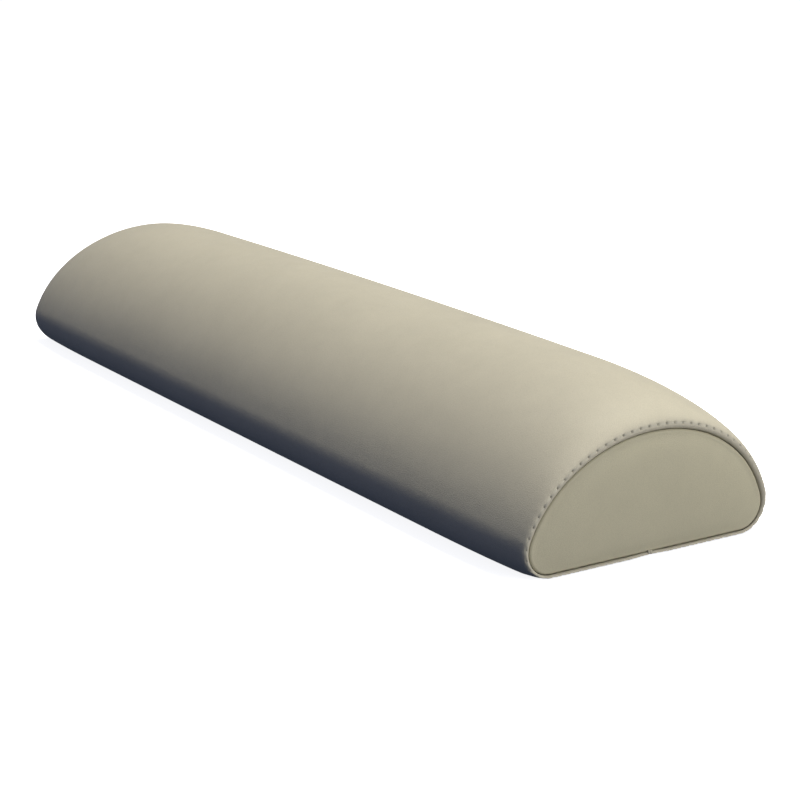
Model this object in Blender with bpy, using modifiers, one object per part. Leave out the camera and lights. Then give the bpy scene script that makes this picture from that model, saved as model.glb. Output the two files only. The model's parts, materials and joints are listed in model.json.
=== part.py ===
"""Half-round bolster pillow: a foam core in a zipped vinyl cover, lying on its flat base.

Metres, +Z up. X runs along the bolster, and the origin is under its middle, on the base plane.
"""

import math

import bmesh
import bpy
import numpy as np

# Overall size
LENGTH = 0.660
WIDTH = 0.2056  # of the arch where it would meet the base plane; rounded corners take it to 0.203
HEIGHT = 0.102

# Section of the body, and how it closes in towards the rim of each end
BODY_POWER = 1.85  # exponent of the arch's superellipse along the body
RIM_POWER = 2.03  # the same at the rim, where the arch is rounder
BODY_CORNER = 0.011  # radius between the base and the side
RIM_CORNER = 0.009
BODY_CROWN = 0.0015  # how much lower the arch is where the closing-in starts than at mid length
ROLL_LENGTH = 0.100  # length over which each end closes in
RIM_SIDE_DROP = 0.0075
RIM_TOP_DROP = 0.020
RIM_LIFT = 0.0018  # height of the rim's lower edge above the base plane, reached over the flange's width
PANEL_CROWN = 0.003  # bulge of each end panel beyond the rim

# Sheet goods and the play between layers
VINYL = 0.0012
WADDING = 0.004
GAP = 0.0003  # left between two pieces that touch
THREAD = 0.0006

# End seams
SHOULDER = 0.0018  # last stretch of the roll, just behind the rim
LIP = 0.0016  # width of the cover's turned edge in the rim's plane
FLANGE_WIDTH = 0.012  # end panel's seam allowance, turned in under the cover
TOPSTITCH_INSET = 0.0055

# Base opening
HEM_GAP = 0.013  # between the two hems along the zip
HEM_LAP = 0.003  # flat edge of each hem, against the tape
HEM_SLOPE = 0.008  # width of the slope from the base plane up to the hem
HEM_FLAT = 0.004  # flat base beside the slope, before the wadding starts
ZIP_MARGIN = 0.058  # from each end to where the hems start to close
HEM_CLOSING = 0.016  # length over which the hems come together
SEAM_GAP = 0.0007  # slit between the two edges where they are sewn together
SEAM_DIP = 0.001
GROOVE_PLAY = 0.0014  # between the foam's groove and the slider above it
TAPE_PLAY = 0.0025  # between the foam's groove and the tapes' outer edges
FOAM_END_PLAY = 0.0038  # between the foam and the rim's plane, for the end panel
FIBRE_END_PLAY = 0.001  # between the wadding and the end panel's flange

# Zip
TAPE_UNDERSIDE = 0.007
TAPE_THICKNESS = 0.0006
TAPE_WIDTH = 0.0141
TAPE_TAIL = 0.010  # tape beyond the start of the hems' closing
CHAIN_SLOT = 0.0018  # between the two coils and the two tapes
COIL_WIDTH = 0.0022
COIL_HEIGHT = 0.0022
COIL_MARGIN = 0.012  # from the coil's end to where the hems start to close
STOP_LENGTH = 0.003
STOP_DROP = 0.001  # how far a stop reaches below the coil, into the slider's path
TACK_LENGTH = 0.011
TACK_WIDTH = 0.0018

# Slider and pull
SLIDER_LENGTH = 0.013
PLATE = 0.0009
WALL = 0.0008
CHANNEL_PLAY = 0.0004  # between the slider and the chain
POST_LENGTH = 0.003
CROWN_LENGTH = 0.009
CROWN_WIDTH = 0.002
CROWN_BAR = 0.0009
CROWN_LEG = 0.0012
PULL_THICKNESS = 0.0008
PULL_LENGTH = 0.027
PULL_WIDTH = 0.007
PULL_ARM = 0.0012
PULL_EYE = 0.0065  # from the pivot to the far end of the eye

ARCH_STEPS = 10  # faces from the corner to the top of the arch
CORNER_STEPS = 3
THREAD_SIDES = 1  # bevel resolution of a thread

RIM_X = LENGTH / 2 - PANEL_CROWN
ROLL_START = RIM_X - ROLL_LENGTH
ZIP_END = LENGTH / 2 - ZIP_MARGIN
SEAM_START = ZIP_END + HEM_CLOSING
FLANGE_START = RIM_X - FLANGE_WIDTH
TOPSTITCH_X = RIM_X - TOPSTITCH_INSET
COIL_END = ZIP_END - COIL_MARGIN
STATIONS = sorted(
    (
        0,
        ROLL_START / 2,
        ROLL_START,
        (ROLL_START + ZIP_END) / 2,
        ZIP_END,
        SEAM_START,
        (SEAM_START + FLANGE_START) / 2,
        FLANGE_START,
        TOPSTITCH_X,
        RIM_X - SHOULDER,
        RIM_X,
    )
)

COIL_UNDERSIDE = TAPE_UNDERSIDE - GAP - COIL_HEIGHT
LOWER_PLATE_TOP = COIL_UNDERSIDE - CHANNEL_PLAY
UPPER_PLATE_UNDERSIDE = TAPE_UNDERSIDE + TAPE_THICKNESS + CHANNEL_PLAY
LOWER_PLATE_UNDERSIDE = LOWER_PLATE_TOP - PLATE
PIVOT_Z = LOWER_PLATE_UNDERSIDE - GAP - PULL_THICKNESS / 2
CROWN_UNDERSIDE = PIVOT_Z - PULL_THICKNESS / 2 - GAP - CROWN_BAR
SLIDER_X = COIL_END - SLIDER_LENGTH / 2
SLIDER_EDGE = PLATE / 4  # plates' edge outside the side walls, and their bevel
SLIDER_WIDTH = CHAIN_SLOT + 2 * (COIL_WIDTH + CHANNEL_PLAY + WALL + SLIDER_EDGE)
HEM_DIP = TAPE_UNDERSIDE - GAP - VINYL
GROOVE_TOP = UPPER_PLATE_UNDERSIDE + PLATE + GROOVE_PLAY
GROOVE_WIDTH = max(CHAIN_SLOT + 2 * (TAPE_WIDTH + TAPE_PLAY), HEM_GAP + 2 * (HEM_LAP + HEM_SLOPE))

VINYL_CREAM = ("cream vinyl", (0.62, 0.58, 0.46), 0.55, 0.0)
VINYL_END = ("cream vinyl end", (0.60, 0.56, 0.44), 0.55, 0.0)
FOAM = ("white foam", (0.80, 0.77, 0.66), 0.95, 0.0)
FIBRE = ("white fibre", (0.86, 0.86, 0.84), 0.95, 0.0)
CREAM_THREAD = ("cream thread", (0.60, 0.56, 0.45), 0.7, 0.0)
ZIP_FABRIC = ("sand tape", (0.50, 0.46, 0.36), 0.85, 0.0)
ZIP_NYLON = ("sand nylon", (0.56, 0.52, 0.42), 0.45, 0.0)
NICKEL = ("nickel", (0.62, 0.61, 0.58), 0.28, 1.0)


def clear_scene():
    for obj in list(bpy.data.objects):
        bpy.data.objects.remove(obj, do_unlink=True)


def new_collection(name):
    collection = bpy.data.collections.new(name)
    bpy.context.scene.collection.children.link(collection)
    return collection


def material(finish):
    name, colour, roughness, metallic = finish
    found = bpy.data.materials.get(name) or bpy.data.materials.new(name)
    found.use_nodes = True
    shader = found.node_tree.nodes["Principled BSDF"]
    shader.inputs["Base Color"].default_value = (*colour, 1.0)
    shader.inputs["Roughness"].default_value = roughness
    shader.inputs["Metallic"].default_value = metallic
    return found


def add(name, data, finish, parent, place=(0, 0, 0)):
    """Puts a mesh or a curve in the parts' collection as one named piece."""
    obj = bpy.data.objects.new(name, data)
    obj.data.materials.append(material(finish))
    obj.location = place
    obj.parent = parent
    PARTS.objects.link(obj)
    return obj


def helper(name, data):
    """Puts a cutter, or a shape to be joined to a piece, where no render shows it."""
    obj = bpy.data.objects.new(name, data)
    obj.hide_render = True
    obj.display_type = "WIRE"
    CUTTERS.objects.link(obj)
    return obj


def joint_frame(name, place, parent):
    """An empty on a joint's axis."""
    empty = bpy.data.objects.new(name, None)
    empty.location = place
    empty.parent = parent
    PARTS.objects.link(empty)
    return empty


# Section of the cover


def closed_in(x):
    """How far the section at x has closed in: 0 along the body, 1 at the rim, on a quarter ellipse."""
    share = max(0.0, abs(x) - ROLL_START) / ROLL_LENGTH
    return 1 - math.sqrt(max(0.0, 1 - min(share, 1.0) ** 2))


def base_lift(x):
    """Height of the base at x: it is flat as far as the end panel's flange, then rises to the rim."""
    return RIM_LIFT * max(0.0, abs(x) - FLANGE_START) / FLANGE_WIDTH


def superellipse(angle, half_width, height, power):
    y = half_width * np.abs(np.cos(angle)) ** (2 / power)
    z = height * np.abs(np.sin(angle)) ** (2 / power)
    return y, z


def corner_fillet(half_width, height, power, radius):
    """Where an arc that rests on the base meets the arch: (arch's angle, arc's centre, arc's angle)."""
    low, high = 1e-4, math.pi / 4
    for _ in range(40):
        angle = (low + high) / 2
        y, z = superellipse(angle, half_width, height, power)
        steep = np.array([(y / half_width) ** (power - 1) / half_width, (z / height) ** (power - 1) / height])
        normal = steep / np.linalg.norm(steep)
        centre = np.array([y, z]) - radius * normal
        low, high = (angle, high) if centre[1] < radius else (low, angle)
    return angle, centre, math.atan2(normal[1], normal[0])


def base_run(x, hemmed):
    """(y, height above the base) of the points on the flat base, from its middle outwards."""
    flat_at = HEM_GAP / 2 + HEM_LAP + HEM_SLOPE + HEM_FLAT
    if not hemmed:
        return np.array([0, flat_at]), np.zeros(2)
    half_gap = np.interp(abs(x), (ZIP_END, SEAM_START), (HEM_GAP / 2, SEAM_GAP / 2))
    dip = np.interp(abs(x), (ZIP_END, SEAM_START, FLANGE_START), (HEM_DIP, SEAM_DIP, 0))
    steps = np.cumsum((0, HEM_LAP, HEM_SLOPE / 2, HEM_SLOPE / 2))
    y = np.append(half_gap + steps, flat_at)
    return y, dip * np.array([1, 1, 0.5, 0, 0])


def half_outline(x, hemmed):
    """(y, z) of the cover's outer face at x, from the base's middle to the top of the arch."""
    share = closed_in(x)
    crown = BODY_CROWN * min(1.0, abs(x) / ROLL_START) ** 2
    lift = base_lift(x)
    half_width = WIDTH / 2 - RIM_SIDE_DROP * share
    height = HEIGHT - crown - (RIM_TOP_DROP - BODY_CROWN) * share - lift
    power = BODY_POWER + (RIM_POWER - BODY_POWER) * share
    radius = BODY_CORNER + (RIM_CORNER - BODY_CORNER) * share
    start, centre, end = corner_fillet(half_width, height, power, radius)
    base_y, base_z = base_run(x, hemmed)
    turn = np.linspace(-math.pi / 2, end, CORNER_STEPS + 1)[:-1]
    arch_y, arch_z = superellipse(np.linspace(start, math.pi / 2, ARCH_STEPS + 1), half_width, height, power)
    y = np.concatenate((base_y, centre[0] + radius * np.cos(turn), arch_y))
    z = np.concatenate((base_z, centre[1] + radius * np.sin(turn), arch_z))
    return y, z + lift


def outline(x, hemmed):
    """The whole outline at x, from the front hem over the top to the rear one. Unhemmed, it is a ring."""
    y, z = half_outline(x, hemmed)
    last = None if hemmed else 0
    rear = slice(-2, last, -1)
    points = np.empty((len(y) + len(y[rear]), 3))
    points[:, 0] = x
    points[:, 1] = np.concatenate((-y, y[rear]))
    points[:, 2] = np.concatenate((z, z[rear]))
    return points


def mean_tangent(points, axis, closed):
    """Unit tangents of a grid along one axis, each the mean of the two stretches that meet there."""
    looped = np.concatenate((points, points.take([0], axis)), axis) if closed else points
    step = np.diff(looped, axis=axis)
    step /= np.linalg.norm(step, axis=2, keepdims=True)
    if closed:
        return step + np.roll(step, 1, axis)
    first, last = step.take([0], axis), step.take([-1], axis)
    return np.concatenate((first, step), axis) + np.concatenate((step, last), axis)


def layer(stations, hemmed, depth):
    """Grid of points that lie this deep under the cover's outer face, a row for each station."""
    points = np.array([outline(x, hemmed) for x in stations])
    along = mean_tangent(points, 0, closed=False)
    around = mean_tangent(points, 1, closed=not hemmed)
    normal = np.cross(along, around)
    normal /= np.linalg.norm(normal, axis=2, keepdims=True)
    return points - depth * normal


def both_ways(stations):
    """The stations from one end of the bolster to the other."""
    return [-x for x in stations[:0:-1]] + list(stations)


def lofted(name, rows, closed, capped=False, tip=None):
    """A mesh through rows of points. capped closes both ends, and a tip closes the last row to a point."""
    bm = bmesh.new()
    rings = [[bm.verts.new(p) for p in row] for row in rows]
    count = len(rings[0])
    for near, far in zip(rings, rings[1:]):
        for i in range(count if closed else count - 1):
            j = (i + 1) % count
            bm.faces.new((near[i], far[i], far[j], near[j]))
    if capped:
        bm.faces.new(rings[0])
        bm.faces.new(rings[-1][::-1])
    if tip is not None:
        point = bm.verts.new(tip)
        for i in range(count):
            bm.faces.new((rings[-1][i], point, rings[-1][(i + 1) % count]))
    mesh = bpy.data.meshes.new(name)
    bm.to_mesh(mesh)
    bm.free()
    mesh.shade_smooth()
    mesh.set_sharp_from_angle(angle=math.radians(40))
    return mesh


def solidify(obj, thickness):
    wall = obj.modifiers.new("wall", "SOLIDIFY")
    wall.thickness = thickness
    wall.offset = -1
    return wall


# Soft pieces


def make_cover_wrap(parent):
    """One sheet from hem to hem over the arch. Its ends turn in at the rims."""
    rows = layer(both_ways(STATIONS), True, 0)
    lips = [lip_row(rows[0], -1), lip_row(rows[-1], 1)]
    rows = [lips[0], *rows, lips[1]]
    obj = add("cover_wrap", lofted("cover_wrap", rows, closed=False), VINYL_CREAM, parent)
    solidify(obj, VINYL)


def inset(row, distance, closed):
    """An outline moved towards its inside, in its own plane."""
    around = mean_tangent(row[None], 1, closed)[0]
    around /= np.linalg.norm(around, axis=1, keepdims=True)
    return row + distance * np.cross(around, (1, 0, 0))


def lip_row(row, side):
    """The edge of the cover's turned lip, which lies in the rim's plane."""
    return inset(row, LIP, closed=False) + np.array([side * GAP / 2, 0, 0])


def make_fibre_wrap(parent):
    """Wadding between the foam and the cover. It stops beside the zip and short of the end panels."""
    reach = [x for x in STATIONS if x <= FLANGE_START]
    reach[-1] -= FIBRE_END_PLAY
    rows = layer(both_ways(reach), True, VINYL + GAP)
    skip = len(base_run(0, True)[0]) - 1
    mesh = lofted("fibre_wrap", rows[:, skip : rows.shape[1] - skip], closed=False)
    obj = add("fibre_wrap", mesh, FIBRE, parent)
    solidify(obj, WADDING)


def make_foam_core(parent):
    """The firm core, with a groove along its base that leaves the zip and its slider free."""
    depth = VINYL + GAP + WADDING + GAP
    reach = [x for x in STATIONS if x <= TOPSTITCH_X]
    rows = list(layer(both_ways(reach), False, depth))
    for side, row in ((-1, rows[0]), (1, rows[-1])):
        face = row.copy()
        face[:, 0] = side * (RIM_X - FOAM_END_PLAY)
        middle = np.array([0, 0, face[:, 2].mean()])
        face[:, 1:] = middle[1:] + (face[:, 1:] - middle[1:]) * 0.97
        rows = [face, *rows] if side < 0 else [*rows, face]
    obj = add("foam_core", lofted("foam_core", rows, closed=True, capped=True), FOAM, parent)
    low, high = (-LENGTH, -GROOVE_WIDTH / 2, -HEIGHT), (LENGTH, GROOVE_WIDTH / 2, GROOVE_TOP)
    cut(obj, helper("foam_groove", box_mesh("foam_groove", low, high)), "DIFFERENCE")


def make_end_panels(parent):
    """D-shaped panels. Each one's seam allowance turns in under the cover, and its middle bulges a little."""
    stations = [x for x in STATIONS if FLANGE_START <= x < RIM_X]
    for name, side in (("end_panel_left", -1), ("end_panel_right", 1)):
        rows = list(layer(stations, False, VINYL + GAP))
        rim = outline(RIM_X, False)
        middle = np.array([0, 0, rim[:, 2].max() * 0.42])
        for inwards, back in ((0.0036, 0.0016), (0.0048, 0.0004)):
            rows.append(inset(rim, inwards, closed=True) - np.array([back, 0, 0]))
        edge = rows[-1]
        for share in (0.8, 0.5):
            row = edge.copy()
            row[:, 1:] = middle[1:] + (edge[:, 1:] - middle[1:]) * share
            row[:, 0] = RIM_X + PANEL_CROWN * (1 - share**2)
            rows.append(row)
        tip = middle + np.array([RIM_X + PANEL_CROWN, 0, 0])
        rows = [row * np.array([side, 1, 1]) for row in rows]
        tip[0] *= side
        mesh = lofted(name, rows, closed=True, tip=tip)
        if side < 0:
            mesh.flip_normals()
        obj = add(name, mesh, VINYL_END, parent)
        solidify(obj, VINYL)


# Threads


def thread(name, points, closed, parent, finish=CREAM_THREAD):
    """A row of stitching, as one round thread along its whole run."""
    curve = bpy.data.curves.new(name, "CURVE")
    curve.dimensions = "3D"
    curve.bevel_depth = THREAD / 2
    curve.bevel_resolution = THREAD_SIDES
    curve.use_fill_caps = not closed
    spline = curve.splines.new("POLY")
    spline.points.add(len(points) - 1)
    for point, place in zip(spline.points, points):
        point.co = (*place, 1)
    spline.use_cyclic_u = closed
    add(name, curve, finish, parent)


def make_end_threads(parent):
    """The row of topstitching round each end, and the seam's own thread inside the fold."""
    on_cover = -(THREAD / 2 + GAP)
    in_fold = 2 * (VINYL + GAP) + THREAD / 2 + GAP
    near = [x for x in STATIONS if FLANGE_START <= x <= RIM_X - SHOULDER]
    row = near.index(TOPSTITCH_X)
    for name, side in (("left", -1), ("right", 1)):
        flip = np.array([side, 1, 1])
        thread(f"topstitch_{name}", layer(near, False, on_cover)[row] * flip, True, parent)
        thread(f"seam_thread_{name}", layer(near, False, in_fold)[row] * flip, True, parent)


def make_base_threads(parent):
    """The rows that hold the hems to the tapes, and the short closed seams beyond the zip."""
    y = HEM_GAP / 2 + HEM_LAP / 2
    z = HEM_DIP - GAP - THREAD / 2
    for name, side in (("front", -1), ("rear", 1)):
        thread(f"zip_stitch_{name}", [(-ZIP_END, side * y, z), (ZIP_END, side * y, z)], False, parent)
    above = SEAM_DIP + VINYL + GAP + THREAD / 2
    for name, side in (("left", -1), ("right", 1)):
        run = np.linspace(SEAM_START + GAP, FLANGE_START - THREAD, 4)
        points = [(side * x, 0, above + base_lift(x)) for x in run]
        thread(f"base_seam_{name}", points, False, parent)


# Zip


def box_mesh(name, low, high, bevel=0.0):
    """A box between two corners, with its edges bevelled."""
    bm = bmesh.new()
    bmesh.ops.create_cube(bm, size=1.0)
    low, high = np.array(low, float), np.array(high, float)
    for vert in bm.verts:
        vert.co = (low + high) / 2 + np.array(vert.co) * (high - low)
    if bevel:
        bmesh.ops.bevel(bm, geom=bm.edges[:], offset=bevel, segments=2, profile=0.5, affect="EDGES")
    mesh = bpy.data.meshes.new(name)
    bm.to_mesh(mesh)
    bm.free()
    return mesh


def cut(obj, other, operation):
    boolean = obj.modifiers.new(other.name, "BOOLEAN")
    boolean.operation = operation
    boolean.object = other


def join_boxes(obj, boxes):
    """Adds boxes, given as pairs of corners in the object's own frame, to the object."""
    for i, (low, high) in enumerate(boxes):
        other = helper(f"{obj.name}_block_{i}", box_mesh(f"{obj.name}_block_{i}", low, high))
        other.location = obj.matrix_basis.translation
        other.parent = obj.parent
        cut(obj, other, "UNION")


def make_zip_chain(parent):
    """Two tapes, each with its coil along the inner edge, the end stops and the bar tacks."""
    slot = CHAIN_SLOT / 2
    tape_x = ZIP_END + TAPE_TAIL
    coil_top = COIL_UNDERSIDE + COIL_HEIGHT
    stop_z = (COIL_UNDERSIDE - STOP_DROP, coil_top)
    for name, side in (("front", -1), ("rear", 1)):
        near, far = sorted((side * slot, side * (slot + TAPE_WIDTH)))
        low, high = (-tape_x, near, TAPE_UNDERSIDE), (tape_x, far, TAPE_UNDERSIDE + TAPE_THICKNESS)
        add(f"zip_tape_{name}", box_mesh("tape", low, high), ZIP_FABRIC, parent)
        near, far = sorted((side * slot, side * (slot + COIL_WIDTH)))
        low, high = (-COIL_END, near, COIL_UNDERSIDE), (COIL_END, far, coil_top)
        add(f"zip_coil_{name}", box_mesh("coil", low, high, COIL_WIDTH / 4), ZIP_NYLON, parent)
        low, high = (COIL_END + GAP, near, stop_z[0]), (COIL_END + GAP + STOP_LENGTH, far, stop_z[1])
        add(f"zip_top_stop_{name}", box_mesh("stop", low, high, GAP), NICKEL, parent)
    half = slot + COIL_WIDTH
    low, high = (-COIL_END - GAP - STOP_LENGTH, -half, stop_z[0]), (-COIL_END - GAP, half, stop_z[1])
    add("zip_bottom_stop", box_mesh("bottom_stop", low, high, GAP), NICKEL, parent)
    tack_x = (COIL_END + GAP + STOP_LENGTH + ZIP_END) / 2
    size = np.array([TACK_WIDTH, TACK_LENGTH, THREAD]) / 2
    for name, side in (("left", -1), ("right", 1)):
        place = np.array([side * tack_x, 0, TAPE_UNDERSIDE - GAP - THREAD / 2])
        mesh = box_mesh("tack", place - size, place + size, THREAD / 5)
        add(f"bar_tack_{name}", mesh, CREAM_THREAD, parent)


def make_slider(parent):
    """The slider's two plates, the post that wedges the coils apart, its side walls and the crown."""
    frame = joint_frame("zip_slide", (SLIDER_X, 0, PIVOT_Z), parent)
    half_x, half_y = SLIDER_LENGTH / 2, SLIDER_WIDTH / 2
    lower, top = LOWER_PLATE_UNDERSIDE - PIVOT_Z, LOWER_PLATE_TOP - PIVOT_Z
    upper = UPPER_PLATE_UNDERSIDE - PIVOT_Z
    mesh = box_mesh("slider_body", (-half_x, -half_y, lower), (half_x, half_y, top), SLIDER_EDGE)
    obj = add("slider_body", mesh, NICKEL, frame)
    sunk = PLATE / 2
    post_y = CHAIN_SLOT / 2 - CHANNEL_PLAY
    wall_top = TAPE_UNDERSIDE - CHANNEL_PLAY - PIVOT_Z
    crown_y, leg_x = CROWN_WIDTH / 2, CROWN_LENGTH / 2
    crown_low = CROWN_UNDERSIDE - PIVOT_Z
    boxes = [
        ((-half_x, -half_y, upper), (half_x, half_y, upper + PLATE)),
        ((half_x - PLATE - POST_LENGTH, -post_y, top - sunk), (half_x - PLATE, post_y, upper + sunk)),
        ((-leg_x, -crown_y, crown_low), (leg_x, crown_y, crown_low + CROWN_BAR)),
    ]
    for side in (-1, 1):
        wall = sorted((side * (half_y - SLIDER_EDGE), side * (half_y - SLIDER_EDGE - WALL)))
        boxes.append(((-half_x + PLATE, wall[0], top - sunk), (half_x - PLATE, wall[1], wall_top)))
        leg = sorted((side * leg_x, side * (leg_x - CROWN_LEG)))
        boxes.append(((leg[0], -crown_y, crown_low + CROWN_BAR / 2), (leg[1], crown_y, lower + sunk)))
    join_boxes(obj, boxes)
    return frame


def make_pull(slider):
    """The pull tab: an eye whose cross bar lies in the crown, and a flat tab, lying back along the chain."""
    half = PULL_THICKNESS / 2
    arm_in = CROWN_WIDTH / 2 + CHANNEL_PLAY
    arm_out = arm_in + PULL_ARM
    wide = PULL_WIDTH / 2
    tab = box_mesh("pull_tab", (-PULL_LENGTH, -wide, -half), (-PULL_EYE, wide, half), PULL_THICKNESS / 4)
    obj = add("pull_tab", tab, NICKEL, slider)
    lap = PULL_ARM / 2
    boxes = [((-half, -arm_out, -half), (half, arm_out, half))]
    for side in (-1, 1):
        arm = sorted((side * arm_in, side * arm_out))
        boxes.append(((-PULL_EYE - lap, arm[0], -half), (half, arm[1], half)))
    join_boxes(obj, boxes)


clear_scene()
PARTS = new_collection("bolster_pillow")
CUTTERS = new_collection("cutters")
root = joint_frame("bolster", (0, 0, 0), None)
make_foam_core(root)
make_fibre_wrap(root)
make_cover_wrap(root)
make_end_panels(root)
make_end_threads(root)
make_base_threads(root)
make_zip_chain(root)
make_pull(make_slider(root))
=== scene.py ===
"""Half-round bolster pillow in cream vinyl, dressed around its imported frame.

Metres, +Z up. X runs along the bolster, and the origin is under its middle, on the base plane.
Every soft piece comes from one law, the section of the closed cover, so that the cover, its end panels,
the wadding and the foam fit inside each other. Pressure in a cloth simulation then swells the cover.
"""

import json
import logging
import math
from collections.abc import Callable
from dataclasses import dataclass, field, replace
from enum import Enum

import bmesh
import bpy
import numpy as np
from mathutils import Matrix, Vector

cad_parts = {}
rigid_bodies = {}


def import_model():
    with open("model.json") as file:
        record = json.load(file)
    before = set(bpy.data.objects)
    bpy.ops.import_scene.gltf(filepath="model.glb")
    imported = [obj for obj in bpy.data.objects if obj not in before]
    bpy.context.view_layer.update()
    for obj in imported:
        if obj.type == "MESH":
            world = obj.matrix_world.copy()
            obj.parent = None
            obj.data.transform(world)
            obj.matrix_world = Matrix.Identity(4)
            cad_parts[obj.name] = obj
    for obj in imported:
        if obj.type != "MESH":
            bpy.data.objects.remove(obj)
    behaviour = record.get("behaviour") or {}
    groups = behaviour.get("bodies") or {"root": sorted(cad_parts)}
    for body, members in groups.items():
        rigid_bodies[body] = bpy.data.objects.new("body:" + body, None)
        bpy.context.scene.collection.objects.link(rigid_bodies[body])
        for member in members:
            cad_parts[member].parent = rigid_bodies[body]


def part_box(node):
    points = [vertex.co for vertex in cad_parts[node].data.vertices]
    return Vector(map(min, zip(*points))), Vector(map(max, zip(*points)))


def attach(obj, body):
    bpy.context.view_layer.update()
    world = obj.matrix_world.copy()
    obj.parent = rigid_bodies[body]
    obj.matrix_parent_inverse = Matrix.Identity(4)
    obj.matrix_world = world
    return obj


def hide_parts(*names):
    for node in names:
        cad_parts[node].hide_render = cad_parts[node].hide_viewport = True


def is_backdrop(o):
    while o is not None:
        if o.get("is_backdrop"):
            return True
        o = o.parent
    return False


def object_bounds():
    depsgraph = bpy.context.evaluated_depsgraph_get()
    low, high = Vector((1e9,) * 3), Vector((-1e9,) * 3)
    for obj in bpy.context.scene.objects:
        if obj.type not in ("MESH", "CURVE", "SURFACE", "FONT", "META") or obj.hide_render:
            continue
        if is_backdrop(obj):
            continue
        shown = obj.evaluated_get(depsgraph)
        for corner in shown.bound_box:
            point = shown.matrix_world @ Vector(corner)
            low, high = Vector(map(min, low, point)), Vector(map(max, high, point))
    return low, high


LOG = logging.getLogger("bolster")
MERGE_DISTANCE = 1e-7


class Body(Enum):
    """The parts of the frame that move on their own."""

    COVER = "cover"
    SLIDER = "slider"
    PULL = "pull"


class Slot(Enum):
    """The record's finishes."""

    VINYL = "vinyl"
    FOAM = "foam"
    WADDING = "wadding"
    THREAD = "thread"
    ZIP_TAPE = "zip_tape"
    ZIP_COIL = "zip_coil"
    ZIP_METAL = "zip_metal"


class End(Enum):
    """The two ends of the bolster, as the sign of X."""

    LEFT = -1
    RIGHT = 1


class ZipSide(Enum):
    """The two sides of the zip, as the sign of Y."""

    FRONT = -1
    REAR = 1


# Surfaces as arrays


@dataclass
class Patch:
    """A surface as plain arrays.

    Attributes:
        points: (n, 3) places of the points.
        quads: (m, 4) point numbers of each face, counter-clockwise seen from outside.
        uv: (m, 4, 2) place of each face corner on the material, in metres along and around.
        marks: named values, one for each point, for the materials to read.
    """

    points: np.ndarray
    quads: np.ndarray
    uv: np.ndarray
    marks: dict[str, np.ndarray] = field(default_factory=dict)


def grid_patch(
    points: np.ndarray,
    wrap_rows: bool = False,
    wrap_columns: bool = False,
    flip: bool = False,
    marks: dict[str, np.ndarray] | None = None,
) -> Patch:
    """Joins a grid of points into quads. UV runs in metres, by the mean length of the grid's lines.

    Args:
        points: (rows, columns, 3) grid.
        wrap_rows: joins the last row to the first.
        wrap_columns: joins the last column to the first.
        flip: turns the faces over. Unflipped, they face along column step x row step.
        marks: named (rows, columns) values.

    Returns:
        The patch.
    """
    rows, columns = points.shape[:2]
    r = np.arange(rows if wrap_rows else rows - 1)[:, None]
    c = np.arange(columns if wrap_columns else columns - 1)[None, :]
    near, far = r * columns, (r + 1) % rows * columns
    right = (c + 1) % columns
    quads = np.stack((near + c, near + right, far + right, far + c), axis=2).reshape(-1, 4)
    along = line_length(points, 1, wrap_columns)
    across = line_length(points, 0, wrap_rows)
    u0, u1 = along[c] + 0 * r, along[c + 1] + 0 * r
    v0, v1 = across[r] + 0 * c, across[r + 1] + 0 * c
    corners = ((u0, v0), (u1, v0), (u1, v1), (u0, v1))
    uv = np.stack([np.stack(corner, axis=2) for corner in corners], axis=2).reshape(-1, 4, 2)
    if flip:
        quads, uv = quads[:, ::-1], uv[:, ::-1]
    flat_marks = {name: value.reshape(-1) for name, value in (marks or {}).items()}
    return Patch(points.reshape(-1, 3), quads, uv, flat_marks)


def line_length(points: np.ndarray, axis: int, closed: bool) -> np.ndarray:
    """Running length of a grid's lines along one axis, as the mean over the other axis."""
    looped = np.concatenate((points, points.take([0], axis)), axis) if closed else points
    step = np.linalg.norm(np.diff(looped, axis=axis), axis=2).mean(axis=1 - axis)
    return np.concatenate(([0.0], np.cumsum(step)))


def joined(patches: list[Patch]) -> Patch:
    """Several patches as one. A mark that a patch lacks is 0 there."""
    starts = np.cumsum([0] + [len(p.points) for p in patches[:-1]])
    names = sorted({name for p in patches for name in p.marks})
    marks = {
        name: np.concatenate([p.marks.get(name, np.zeros(len(p.points))) for p in patches]) for name in names
    }
    return Patch(
        np.concatenate([p.points for p in patches]),
        np.concatenate([p.quads + start for p, start in zip(patches, starts)]),
        np.concatenate([p.uv for p in patches]),
        marks,
    )


def shell_patch(outer: np.ndarray, inner: np.ndarray, marks: dict[str, np.ndarray]) -> Patch:
    """A closed sheet: an outer grid, an inner grid turned over, and a strip along each of the four edges."""
    edges = [
        np.stack((outer[0], inner[0])),
        np.stack((inner[-1], outer[-1])),
        np.stack((inner[:, 0], outer[:, 0])),
        np.stack((outer[:, -1], inner[:, -1])),
    ]
    faces = [grid_patch(outer, flip=True, marks=marks), grid_patch(inner)]
    return joined([*faces, *(grid_patch(edge) for edge in edges)])


def unit(vectors: np.ndarray) -> np.ndarray:
    """The vectors, each brought to length 1."""
    return vectors / np.maximum(np.linalg.norm(vectors, axis=-1, keepdims=True), 1e-12)


def grid_normals(points: np.ndarray) -> np.ndarray:
    """Outward unit normals of a cover grid, along row step x column step, from central differences."""
    return unit(np.cross(np.gradient(points, axis=0), np.gradient(points, axis=1)))


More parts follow.
